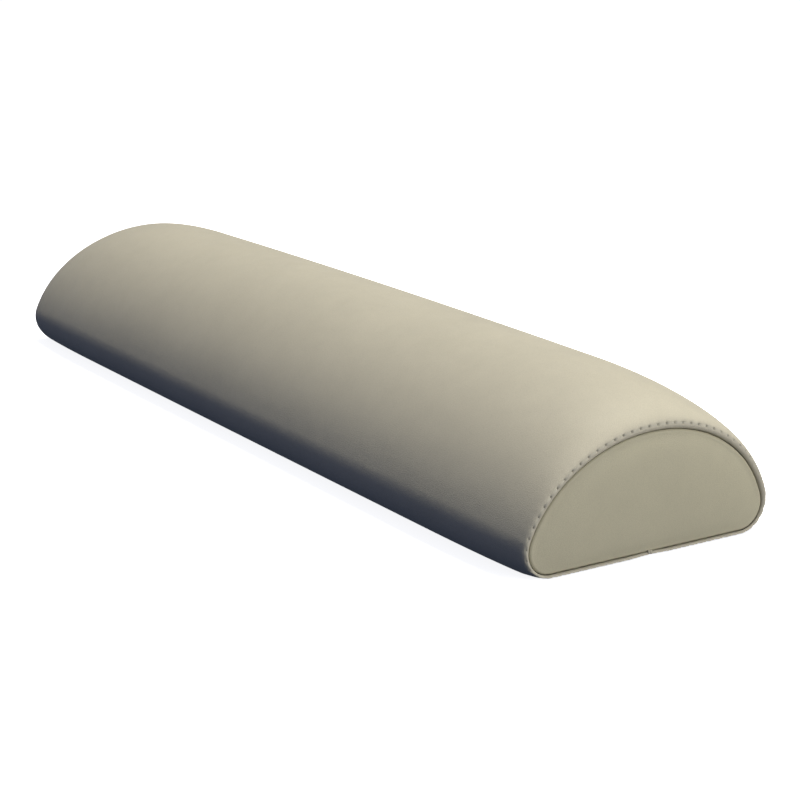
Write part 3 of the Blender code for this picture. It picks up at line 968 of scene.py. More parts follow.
@dataclass
class CoverGrid:
    """Grid of the cover's outer face that every soft piece is cut from: fine at the rims and round each
    needle hole.
    """

    form: CoverForm
    plan: StitchPlan
    body_rows: int = 20
    roll_rows: int = 26
    rim_rows: int = 18
    rim_angle: float = 77.0
    hem_points: int = 15
    flat_points: int = 12
    corner_points: int = 34
    columns_per_stitch: int = 6
    gather: float = 0.55
    x: np.ndarray = field(init=False)
    lanes: Lanes = field(init=False)
    points: np.ndarray = field(init=False)
    holes: np.ndarray = field(init=False)

    def __post_init__(self) -> None:
        """Works out the rows, the columns and the points."""
        self.x = self.rows()
        self.lanes = self.columns()
        self.points = self.form.section(self.x, self.lanes)

    def rows(self) -> np.ndarray:
        """Places along X from end to end. Over the roll they are sines of an angle, which packs them at the
        rim.
        """
        start = self.form.rim_x - self.form.roll_length
        body = np.linspace(0, start, self.body_rows, endpoint=False)
        roll = np.linspace(0, self.rim_angle, self.roll_rows, endpoint=False)
        rim = np.linspace(self.rim_angle, 90, self.rim_rows)
        turn = np.radians(np.concatenate((roll, rim)))
        half = np.concatenate((body, start + self.form.roll_length * np.sin(turn)))
        return np.concatenate((-half[:0:-1], half))

    def columns(self) -> Lanes:
        """Places round the half section. Over the arch they crowd towards the needle holes."""
        hem = np.linspace(0, 1, self.hem_points)
        flat = np.linspace(0, 1, self.flat_points + 1)[1:]
        corner = np.linspace(0, 1, self.corner_points + 1)[1:]
        dense = np.linspace(0, 1, 4001)
        trial = Lanes(hem, flat, corner, dense)
        outline = self.form.half_section(np.array([self.plan.row_x()]), trial)[0]
        run = running_length(outline)
        run = run - run[self.hem_points - 1]
        self.holes = self.plan.holes(run[-1])
        first = run[self.hem_points + self.flat_points + self.corner_points]
        spans = self.holes[self.holes > first]
        step = np.arange(self.columns_per_stitch) / self.columns_per_stitch
        crowd = step - self.gather / math.tau * np.sin(math.tau * step)
        wanted = (spans[:-1, None] + np.diff(spans)[:, None] * crowd).ravel()
        lead = np.linspace(first, spans[0], self.columns_per_stitch, endpoint=False)[1:]
        wanted = np.concatenate((lead, wanted, [run[-1]]))
        arch = np.interp(wanted, run[-len(dense):], dense)
        return Lanes(hem, flat, corner, arch)

    def row_run(self) -> np.ndarray:
        """Running length of each column along the stitch row, from the front hem's lap to the rear one's."""
        row = self.form.section(np.array([self.plan.row_x()]), self.lanes)[0]
        run = running_length(row)
        return run - run[self.hem_points - 1]

    def all_holes(self) -> np.ndarray:
        """Running lengths of every hole round the whole outline, front to rear."""
        total = 2 * self.holes[-1]
        return np.concatenate((self.holes, total - self.holes[-2::-1]))


@dataclass
class Swelling:
    """Pressure inside the sewn cover, which rounds it out between the seams that hold it.

    A closed copy is voxel remeshed and swollen by a cloth simulation, with its rims held by their seams and
    its flat base by the floor. What is kept is how far each point of the cover moves out along its normal.
    The foam behind the cover stops it from sinking, and lets only a share of the swelling through.
    """

    voxel: float = 0.006
    pressure: float = 4.0
    frames: int = 20
    shrink: float = 0.0014
    cap: float = 0.0040
    held_height: float = 0.0045
    give: float = 0.3
    rim_fade: float = 0.030
    base_fade: float = 0.020
    base_clear: float = 0.0005
    held_end: float = 0.006
    blur: float = 0.009

    def run(self, grid: CoverGrid) -> np.ndarray:
        """How far each grid point moves outwards, (rows, columns) in metres."""
        form = self.closed_form(grid)
        moved = self.simulated(form, grid)
        probe = make_object("swelling_probe", replace(grid_patch(grid.points, flip=True), marks={}))
        wrap = probe.modifiers.new("find", "SHRINKWRAP")
        wrap.target = moved
        wrap.wrap_method = "NEAREST_SURFACEPOINT"
        found = evaluated_points(probe)
        if len(found) != grid.points.shape[0] * grid.points.shape[1]:
            raise ValueError("the probe's points were merged")
        away = found.reshape(grid.points.shape) - grid.points
        reach = self.give * np.clip((away * grid_normals(grid.points)).sum(axis=2) + self.shrink, 0, self.cap)
        for obj in (probe, moved):
            bpy.data.objects.remove(obj)
        return self.kept(grid, self.softened(grid, reach))

    def closed_form(self, grid: CoverGrid) -> bpy.types.Object:
        """The cover's outline without its hems, a little smaller, closed at both ends, as a remeshed object.
        """
        lanes = Lanes(np.array([1.0]), grid.lanes.flat, grid.lanes.corner, grid.lanes.arch[::3])
        points = grid.form.section(grid.x[::2], lanes)
        points = points - self.shrink * grid_normals(points)
        middle = points.mean(axis=1, keepdims=True) * np.array([1, 0, 1])
        caps = [middle[:1] + (points[:1] - middle[:1]) * share for share in (0.0, 0.5)]
        ends = [middle[-1:] + (points[-1:] - middle[-1:]) * share for share in (0.5, 0.0)]
        closed = np.concatenate((*caps, points, *ends))
        obj = make_object("swelling", grid_patch(closed, wrap_columns=True, flip=True))
        remesh = obj.modifiers.new("even", "REMESH")
        remesh.mode = "VOXEL"
        remesh.voxel_size = self.voxel
        shown = obj.evaluated_get(bpy.context.evaluated_depsgraph_get())
        mesh = bpy.data.meshes.new_from_object(shown)
        obj.modifiers.clear()
        obj.data = mesh
        return obj

    def simulated(self, obj: bpy.types.Object, grid: CoverGrid) -> bpy.types.Object:
        """The same object after the pressure has worked on it."""
        rest = np.empty(len(obj.data.vertices) * 3, np.float32)
        obj.data.vertices.foreach_get("co", rest)
        rest = rest.reshape(-1, 3)
        held = (np.abs(rest[:, 0]) > grid.form.rim_x - self.held_end) | (rest[:, 2] < self.held_height)
        group = obj.vertex_groups.new(name="held")
        group.add(np.flatnonzero(held).tolist(), 1.0, "REPLACE")
        cloth = obj.modifiers.new("cloth", "CLOTH")
        cloth.settings.quality = 6
        cloth.settings.mass = 0.3
        cloth.settings.tension_stiffness = 6
        cloth.settings.compression_stiffness = 6
        cloth.settings.shear_stiffness = 4
        cloth.settings.bending_stiffness = 1
        cloth.settings.use_pressure = True
        cloth.settings.uniform_pressure_force = self.pressure
        cloth.settings.effector_weights.gravity = 0
        cloth.settings.vertex_group_mass = "held"
        cloth.point_cache.frame_start, cloth.point_cache.frame_end = 1, self.frames
        for frame in range(1, self.frames + 1):
            bpy.context.scene.frame_set(frame)
        swollen = evaluated_points(obj)
        bpy.context.scene.frame_set(1)
        obj.modifiers.remove(cloth)
        away = swollen - rest
        size = np.linalg.norm(away, axis=1)
        moved = rest + away * min(1.0, self.cap / max(float(size.max()), 1e-9))
        obj.data.vertices.foreach_set("co", moved.astype(np.float32).ravel())
        obj.data.update()
        LOG.info(
            "pressure moved %d points by %.1f mm at most, median %.1f",
            len(rest),
            1000 * size.max(),
            1000 * np.median(size),
        )
        return obj

    def softened(self, grid: CoverGrid, reach: np.ndarray) -> np.ndarray:
        """The field with the remesh's grain smoothed out: a Gaussian mean along the rows and the columns."""
        along = gaussian_mean(grid.x, self.blur)
        around = gaussian_mean(grid.row_run(), self.blur)
        return along @ reach @ around.T

    def kept(self, grid: CoverGrid, reach: np.ndarray) -> np.ndarray:
        """The field faded out at the rims and over the base, where the cover is held."""
        edge = np.clip((grid.form.rim_x - np.abs(grid.x)) / self.rim_fade, 0, 1)[:, None]
        edge = smooth_step(edge)
        above = np.clip((grid.points[..., 2] - self.base_clear) / self.base_fade, 0, 1)
        return reach * edge * above * above * (3 - 2 * above)


def gaussian_mean(places: np.ndarray, width: float) -> np.ndarray:
    """Matrix that replaces each value by the mean of those near it, weighted by a Gaussian and by spacing."""
    gap = np.gradient(places)
    weight = np.exp(-(((places[:, None] - places[None, :]) / width) ** 2) / 2) * np.abs(gap)[None, :]
    return weight / weight.sum(axis=1, keepdims=True)


# Sub-assemblies


@dataclass
class WrapCover:
    """The vinyl panel over the arch and under the base, with its folded hems, rolled rims and needle holes.
    """

    grid: CoverGrid
    swelling: Swelling
    lip_radius: float = 0.0026
    lip_turn: float = 106.0
    lip_rows: int = 9
    hole_depth: float = 0.0008
    hole_width: float = 0.00050
    pucker_depth: float = 0.00010
    pucker_width: float = 0.0012
    channel_depth: float = 0.00006
    channel_width: float = 0.0011
    puff: float = 0.00006
    rim_puff: tuple[float, float] = (0.0022, 0.0014)
    body_puff: tuple[float, float] = (0.0032, 0.0024)
    sewn_lead: float = 0.006
    surface: np.ndarray = field(init=False)
    stitch_rows: dict[End, int] = field(init=False)
    sewn: np.ndarray = field(init=False)

    def build(self) -> np.ndarray:
        """Swells the cover, adds the rims and the stitching's marks, and sets the piece in place.

        Returns:
            The swollen grid, before the stitching, for the pieces inside it.
        """
        grid = self.grid
        reach = self.swelling.run(grid)
        swollen = grid.points + reach[..., None] * grid_normals(grid.points)
        swollen[..., 2] = np.maximum(swollen[..., 2], np.minimum(grid.points[..., 2], 0))
        points = self.with_lips(swollen)
        distance, run_gap, channel = self.stitch_distance(points)
        relief = self.relief(distance, run_gap, channel)
        inner = points - self.thickness(points)[..., None] * grid_normals(points)
        points = points + relief[..., None] * grid_normals(points)
        marks = self.marks(points, distance, run_gap)
        obj = make_object("wrap_panel", shell_patch(points, inner, marks))
        face_outwards(obj.data)
        set_piece(obj, VINYL, Slot.VINYL, Body.COVER, "cover_wrap")
        self.surface = points
        return swollen

    def thickness(self, points: np.ndarray) -> np.ndarray:
        """The vinyl's thickness at each point, less inside the hem's fold so that its layers don't cross."""
        thick = np.full(points.shape[:2], self.grid.form.vinyl)
        fold = self.grid.form.hem_fold * (
            1 - self.grid.form.hem_narrowing * self.grid.form.hem_taper(points[:, 0, 0])
        )
        hem = self.grid.hem_points
        thick[:, :hem] = thick[:, -hem:] = np.minimum(self.grid.form.vinyl, 0.85 * fold)[:, None]
        return thick

    def inward(self, row: np.ndarray) -> np.ndarray:
        """Direction in a rim's plane towards the inside of the section: across the outline, or up from the
        base.
        """
        around = unit(np.gradient(row, axis=0))
        inward = np.stack((np.zeros(len(row)), around[:, 2], -around[:, 1]), axis=1)
        base = self.grid.hem_points + self.grid.flat_points
        inward[:base] = inward[-base:] = (0, 0, 1)
        return inward

    def with_lips(self, points: np.ndarray) -> np.ndarray:
        """The grid with each rim rolled over into the seam: inwards by r sin t and back by r (1 - cos t)."""
        turn = np.radians(np.linspace(0, self.lip_turn, self.lip_rows + 1)[1:])
        rims = []
        for end, row in ((End.LEFT, points[0]), (End.RIGHT, points[-1])):
            inward = self.inward(row)
            back = np.array([-end.value, 0, 0])
            radius = self.lip_radius * self.grid.form.lip_share(row[:, 2])[:, None]
            roll = row + radius * (
                np.sin(turn)[:, None, None] * inward + (1 - np.cos(turn))[:, None, None] * back
            )
            rims.append(roll)
        return np.concatenate((rims[0][::-1], points, rims[1]))

    def stitch_distance(self, points: np.ndarray) -> tuple[np.ndarray, np.ndarray, np.ndarray]:
        """Distances on the surface: from the nearest end's stitch row, and round it to the nearest hole.

        Args:
            points: (rows, columns, 3) cover grid with its lips.

        Returns:
            (rows, columns) distance across the row, (columns,) distance to the nearest hole, and
            (rows, columns) signed distance across the row, positive towards the rim.
        """
        step = np.linalg.norm(np.diff(points, axis=0), axis=2)
        run = np.concatenate((np.zeros((1, points.shape[1])), np.cumsum(step, axis=0)))
        x = points[:, points.shape[1] // 2, 0]
        target = self.grid.plan.row_x()
        body = slice(self.lip_rows, len(x) - self.lip_rows)
        left = self.lip_rows + int(np.argmin(np.abs(x[body] + target)))
        right = self.lip_rows + int(np.argmin(np.abs(x[body] - target)))
        middle = len(x) // 2
        signed = np.where(np.arange(len(x))[:, None] < middle, run[left] - run, run - run[right])
        holes = self.grid.all_holes()
        gap = np.abs(self.grid.row_run()[:, None] - holes[None, :]).min(axis=1)
        base = self.grid.hem_points + self.grid.flat_points
        run_in = self.grid.row_run()
        inside = np.minimum(run_in - run_in[base], run_in[-base - 1] - run_in)
        rise = np.clip(inside / self.sewn_lead, 0, 1)
        self.sewn = smooth_step(rise)
        self.stitch_rows = {End.LEFT: left, End.RIGHT: right}
        return np.abs(signed), gap, signed

    def relief(self, across: np.ndarray, gap: np.ndarray, signed: np.ndarray) -> np.ndarray:
        """Depth outwards: Gaussian holes and puckers at the needle, a shallow channel, and puffs between
        stitches.
        """
        far = (across**2 + gap[None, :] ** 2) / 2
        hole = self.hole_depth * np.exp(-far / self.hole_width**2)
        pucker = self.pucker_depth * np.exp(-far / self.pucker_width**2)
        channel = self.channel_depth * np.exp(-((across / self.channel_width) ** 2) / 2)
        rim_at, rim_width = self.rim_puff
        body_at, body_width = self.body_puff
        rim_side = np.exp(-(((signed - rim_at) / rim_width) ** 2) / 2)
        body_side = np.exp(-(((signed + body_at) / body_width) ** 2) / 2)
        swell = rim_side + body_side
        between = np.clip(gap / (self.grid.plan.pitch / 2), 0, 1)[None, :] ** 2
        return self.sewn[None, :] * (self.puff * swell * between - hole - pucker - channel)

    def marks(self, points: np.ndarray, across: np.ndarray, gap: np.ndarray) -> dict[str, np.ndarray]:
        """Where the vinyl gets painted shade in a seam, a needle hole or the hem's fold, and where it is
        rubbed along its rims and lower edge.
        """
        rows = np.arange(len(points))
        turned = np.maximum(self.lip_rows - rows, rows - (len(points) - 1 - self.lip_rows))
        deep = np.clip((turned / self.lip_rows - 0.62) / 0.3, 0, 1)[:, None] * np.ones(points.shape[1])
        hole = self.sewn * np.exp(-(across**2 + gap[None, :] ** 2) / (2 * (0.9 * self.hole_width) ** 2))
        columns = np.arange(points.shape[1])
        hem = self.grid.hem_points
        near_hem = np.minimum(columns, columns[::-1]) < hem * 0.42
        # crease is painted shade: deep in the lip's roll into the seam, round each needle hole, and a lighter
        # share along the hem's fold
        crease = np.maximum(np.maximum(deep, hole), np.where(near_hem, 0.35, 0.0)[None, :])
        rim = np.exp(-(((np.abs(points[..., 0]) - self.grid.form.rim_x) / 0.0016) ** 2))
        low = np.exp(-((points[..., 2] / 0.006) ** 2)) * (np.abs(points[..., 1]) > 0.08)
        return {"crease": crease, "wear": np.clip(rim + 0.7 * low, 0, 1)}


@dataclass
class EndPanel:
    """A D-shaped vinyl panel. Its flange lies under the wrap, its edge rolls out of the seam, its middle
    bulges.
    """

    wrap: WrapCover
    end: End
    crown: float = 0.0030
    seam_inset: float = 0.0028
    roll: float = 0.0020
    flange_depth: float = 0.0019
    flange_backs: tuple[float, ...] = (0.0110, 0.0075, 0.0050)
    seam_back: float = 0.0031
    roll_back: float = 0.0027
    roll_turn: float = 82.0
    roll_rings: int = 9
    # how far round the roll, in degrees, the painted shade of the seam reaches
    dark_turn: float = 38.0
    middle_share: float = 0.42
    ring_crowding: float = 1.7
    bubble_greatest: float = 0.385
    bubble_power: float = 0.45
    step_x: float = 0.0005
    rings: int = 30

    def build(self) -> None:
        """Computes the panel from the rim inwards and sets it in place."""
        grid = self.wrap.grid
        rim = self.outline(grid)
        inward = self.inward(rim)
        rings, crease = [], []
        for back in self.flange_backs:
            ring = self.under_wrap(grid, back)
            rings.append(ring)
            crease.append(1.0)
        inset = self.seam_inset * grid.form.lip_share(rim[:, 2])[:, None]
        rings.append(rim + inward * inset + (-self.seam_back, 0, 0))
        crease.append(1.0)
        for turn in np.radians(np.linspace(0, self.roll_turn, self.roll_rings)):
            out = self.roll * (1 - math.cos(turn))
            up = self.roll * math.sin(turn)
            rings.append(rim + inward * (inset + out) + (up - self.roll_back, 0, 0))
            crease.append(float(np.clip(1 - math.degrees(turn) / self.dark_turn, 0, 1)))
        edge = rings[-1]
        middle = np.array([0, 0, self.middle_share * edge[:, 2].max()])
        for share in 1 - np.linspace(0, 1, self.rings)[1:] ** self.ring_crowding:
            ring = middle + (edge - middle) * np.array([1, share, share])
            ring[:, 0] = edge[:, 0].mean() + self.crown * self.bubble(ring, edge) * (1 - share**10)
            rings.append(ring)
            crease.append(0.0)
        points = np.array(rings) * np.array([self.end.value, 1, 1])
        # crease is painted shade: full on the flange and at the seam, fading out over the first dark_turn
        # degrees of the roll
        marks = {
            "crease": np.array(crease)[:, None] * np.ones(len(rim)),
            "wear": 0.5 * np.exp(-(((np.arange(len(rings)) - 12) / 2.0) ** 2))[:, None] * np.ones(len(rim)),
        }
        facing = self.end is End.RIGHT
        name = f"end_cap_{self.end.name.lower()}"
        obj = make_object(name, grid_patch(points, wrap_columns=True, flip=facing, marks=marks))
        solidify(obj, grid.form.vinyl)
        node = f"end_panel_{self.end.name.lower()}"
        set_piece(obj, END_VINYL, Slot.VINYL, Body.COVER, node)

    def bubble(self, ring: np.ndarray, edge: np.ndarray) -> np.ndarray:
        """Swelling from 0 at the edge to 1: ((1 - |y/w|^2 - (z/h)^2) (z - low) / h)^0.45, over its greatest
        value.
        """
        wide, tall, low = edge[:, 1].max(), edge[:, 2].max(), edge[:, 2].min()
        across = np.abs(ring[:, 1] / wide) ** 2 + (ring[:, 2] / tall) ** 2
        inner = np.clip(1 - across, 0, 1) * np.clip((ring[:, 2] - low) / tall, 0, 1) / self.bubble_greatest
        return np.clip(inner, 0, 1) ** self.bubble_power

    def lanes(self) -> Lanes:
        """The half section without its hem, with evenly spread points."""
        return Lanes(
            np.array([1.0]), np.linspace(0, 1, 24)[1:], np.linspace(0, 1, 11)[1:], np.linspace(0, 1, 81)[1:]
        )

    def closed(self, row: np.ndarray) -> np.ndarray:
        """A section's points with the base run on to the middle, as a ring in the right-hand end's sense."""
        base = np.linspace(0, 1, 8)[1:-1][:, None]
        bridge = row[-1] + (row[0] - row[-1]) * base
        return np.concatenate((row, bridge))

    def outline(self, grid: CoverGrid) -> np.ndarray:
        """The rim's outline as a ring of points."""
        return self.closed(grid.form.section(np.array([grid.form.rim_x]), self.lanes())[0])

    def inward(self, ring: np.ndarray) -> np.ndarray:
        """Direction in the rim's plane towards the inside, at each point of a ring."""
        around = unit(np.roll(ring, -1, axis=0) - np.roll(ring, 1, axis=0))
        return np.stack((np.zeros(len(ring)), around[:, 2], -around[:, 1]), axis=1)

    def under_wrap(self, grid: CoverGrid, back: float) -> np.ndarray:
        """The flange's ring this far behind the rim, just under the wrap's inner face."""
        x = grid.form.rim_x - back + np.array([-self.step_x, 0, self.step_x])
        rows = grid.form.section(x, self.lanes())
        deep = rows - self.flange_depth * grid_normals(rows)
        return self.closed(deep[1])


@dataclass
class StitchRow:
    """One end's topstitching: separate stitches from hole to hole, pulled down into each hole."""

    wrap: WrapCover
    end: End
    thread: float = 0.00062
    points_per_stitch: int = 11
    sides: int = 8
    dip: float = 0.00075
    proud: float = -0.00026

    def build(self) -> None:
        """Lays a stitch between each pair of neighbouring holes."""
        row = self.wrap.stitch_rows[self.end]
        hem = self.wrap.grid.hem_points
        keep = slice(hem - 1, self.wrap.surface.shape[1] - hem + 1)
        run = self.wrap.grid.row_run()[keep]
        line = self.wrap.surface[row, keep]
        normal = grid_normals(self.wrap.surface)[row, keep]
        holes = self.wrap.grid.all_holes()
        share = np.linspace(0, 1, self.points_per_stitch)
        places = holes[:-1, None] + np.diff(holes)[:, None] * share
        smooth = gaussian_mean(run, 0.0022)
        level = line + normal * 0.0002
        centre = sampled(places, run, smooth @ level)
        up = unit(sampled(places, run, smooth @ normal))
        height = self.proud - self.dip * np.abs(2 * share - 1) ** 7
        lean = np.random.default_rng(3 if self.end is End.LEFT else 4).uniform(-0.12, 0.12, len(places))
        centre = centre + height[:, None] * up
        centre[..., 0] += (lean[:, None] * (share - 0.5)) * 0.001
        radii = closed_radii(self.points_per_stitch, self.thread / 2)
        obj = make_object(f"topstitching_{self.end.name.lower()}", tubes(centre, radii, up, self.sides))
        set_piece(obj, THREAD, Slot.THREAD, Body.COVER, f"topstitch_{self.end.name.lower()}")


def sampled(places: np.ndarray, run: np.ndarray, values: np.ndarray) -> np.ndarray:
    """Values along a line, read at other running lengths, one component at a time."""
    return np.stack([np.interp(places, run, values[:, k]) for k in range(values.shape[1])], axis=-1)


@dataclass
class HiddenSeams:
    """Threads that hold the cover together out of sight: round each end's fold, and along the base's closed
    ends.
    """

    form: CoverForm
    thread: float = 0.0006
    pitch: float = 0.0040
    depth: float = 0.0042
    behind: float = 0.0060
    step_x: float = 0.0005
    bedding: float = 0.00025
    short_thread: float = 0.00028
    short_pitch: float = 0.0034
    short_arch: float = 0.0004

    def build(self) -> None:
        """Sews both end seams and both short base seams."""
        for end in End:
            self.end_seam(end)
            self.base_seam(end)

    def end_seam(self, end: End) -> None:
        """A closed wave of thread inside the fold, one stitch after another."""
        lanes = Lanes(
            np.array([1.0]), np.linspace(0, 1, 30)[1:], np.linspace(0, 1, 12)[1:], np.linspace(0, 1, 120)[1:]
        )
        x = self.form.rim_x - self.behind + np.array([-self.step_x, 0, self.step_x])
        rows = self.form.section(x, lanes)
        normal = grid_normals(rows)[1]
        line = rows[1] - normal * self.depth
        run = running_length(line)
        count = int(run[-1] / self.pitch)
        places = np.linspace(0, run[-1], count + 1)
        share = np.linspace(0, 1, 8)
        paths = places[:-1, None] + np.diff(places)[:, None] * share
        centre, up = sampled(paths, run, line), sampled(paths, run, normal)
        centre = centre + (self.bedding * np.abs(2 * share - 1) ** 4)[:, None] * up
        centre = centre * np.array([end.value, 1, 1])
        up = up * np.array([end.value, 1, 1])
        radii = closed_radii(len(share), self.thread / 2)
        name = end.name.lower()
        obj = make_object(f"end_seam_{name}", tubes(centre, radii, up, 6))
        set_piece(obj, THREAD, Slot.THREAD, Body.COVER, f"seam_thread_{name}")

    def base_seam(self, end: End) -> None:
        """Stitches between the two folded edges, from the zip's end to the flange."""
        start, stop = self.form.seam_start + 0.001, self.form.rim_x - self.form.flange_width
        count = int((stop - start) / self.short_pitch)
        edges = np.linspace(start, stop, count + 1)
        share = np.linspace(0, 1, 8)
        x = edges[:-1, None] + np.diff(edges)[:, None] * share
        z = self.form.seam_dip + 1.5 * self.form.hem_fold - self.short_arch * (1 - np.abs(2 * share - 1) ** 4)
        centre = np.stack((end.value * x, 0 * x, z + 0 * x), axis=-1)
        radii = closed_radii(len(share), self.short_thread)
        name = end.name.lower()
        obj = make_object(f"closed_seam_{name}", tubes(centre, radii, np.array([0.0, 0, 1]), 6))
        set_piece(obj, THREAD, Slot.THREAD, Body.COVER, f"base_seam_{name}")


@dataclass
class Filling:
    """What the cover is drawn over: a sheet of wadding round a firm foam core."""

    grid: CoverGrid
    swollen: np.ndarray
    gap: float = 0.0003
    wadding: float = 0.004
    wadding_end: float = 0.0140
    foam_end: float = 0.0100
    face_depth: float = 0.0050
    groove_half: float = 0.0183
    groove_top: float = 0.0105
    lump: float = 0.0004
    face_middle: float = 0.05
    face_steps: tuple[tuple[float, float], ...] = (
        (0.985, 0.55), (0.95, 0.85), (0.8, 0.93), (0.4, 0.98), (0.0, 1.0)
    )

    def build(self) -> None:
        """Makes the wadding and the foam."""
        self.build_wadding()
        self.build_foam()

    def inside(self, reach: float, depth: float, first: int, skip: int) -> np.ndarray:
        """The swollen cover's grid, cut back from its rims and hems, moved in by a depth."""
        normal = grid_normals(self.swollen)
        rows = np.flatnonzero(np.abs(self.grid.x) <= self.grid.form.rim_x - reach)
        columns = np.arange(first, self.swollen.shape[1] - first)
        half = len(columns) // 2
        picked = np.concatenate(
            (np.arange(0, half, skip), [half], half + (half - np.arange(0, half, skip))[::-1])
        )
        deep = self.swollen - depth * normal
        return deep[np.ix_(rows, columns[picked])]

    def build_wadding(self) -> None:
        """A sheet over the arch and under the base, up to the hems' slopes, with soft lumps in its inner
        face.
        """
        first = self.grid.hem_points + 1
        points = self.inside(self.wadding_end, self.grid.form.vinyl + self.gap, first, 3)
        around, along = np.meshgrid(np.arange(points.shape[1]), points[:, 0, 0])
        lumps = np.sin(along * 140 + around * 0.31) * np.sin(around * 0.47 - along * 61)
        points = points - (self.lump * (0.5 + 0.5 * lumps))[..., None] * grid_normals(points)
        obj = make_object("wadding_sheet", grid_patch(points, flip=True))
        solidify(obj, self.wadding - 2 * self.lump)
        set_piece(obj, WADDING, Slot.WADDING, Body.COVER, "fibre_wrap")

    def build_foam(self) -> None:
        """The core: the cover's shape moved in, its base grooved for the zip, its end faces slightly domed.
        """
        depth = self.grid.form.vinyl + self.gap + self.wadding + self.gap
        first = self.grid.hem_points
        outer = self.inside(self.foam_end, depth, first, 3)
        low = outer[:, 0, 2][:, None]
        steps = np.array([0.0, 0.35, 0.7, 0.93, 1.0, 1.0, 1.0, 1.0])
        fall = np.array([0.0, 0.0, 0.0, 0.0, 0.06, 0.3, 0.65, 1.0])
        y = self.groove_half * steps
        z = self.groove_top + (low - self.groove_top) * fall
        front = np.stack(np.broadcast_arrays(outer[:, :1, 0], -y, z), axis=2)
        rear = np.stack(np.broadcast_arrays(outer[:, :1, 0], y[::-1], z[:, ::-1]), axis=2)[:, :-1]
        body = np.concatenate((front, outer, rear), axis=1)
        x = body[:, :1, 0]
        middle = np.array([0, 0, self.face_middle])
        for end in End:
            face = body[-1 if end is End.RIGHT else 0]
            caps = []
            for share, out in self.face_steps:
                ring = middle + (face - middle) * np.array([1, share, share])
                ring[:, 0] = face[:, 0] + end.value * self.face_depth * out
                caps.append(ring[None])
            if end is End.RIGHT:
                body = np.concatenate((body, *caps))
            else:
                body = np.concatenate((*caps[::-1], body))
        LOG.info("foam runs over %.0f mm", 1000 * (np.ptp(x) + 2 * self.face_depth))
        obj = make_object("foam_block", grid_patch(body, wrap_columns=True, flip=True), crease=50)
        set_piece(obj, FOAM, Slot.FOAM, Body.COVER, "foam_core")


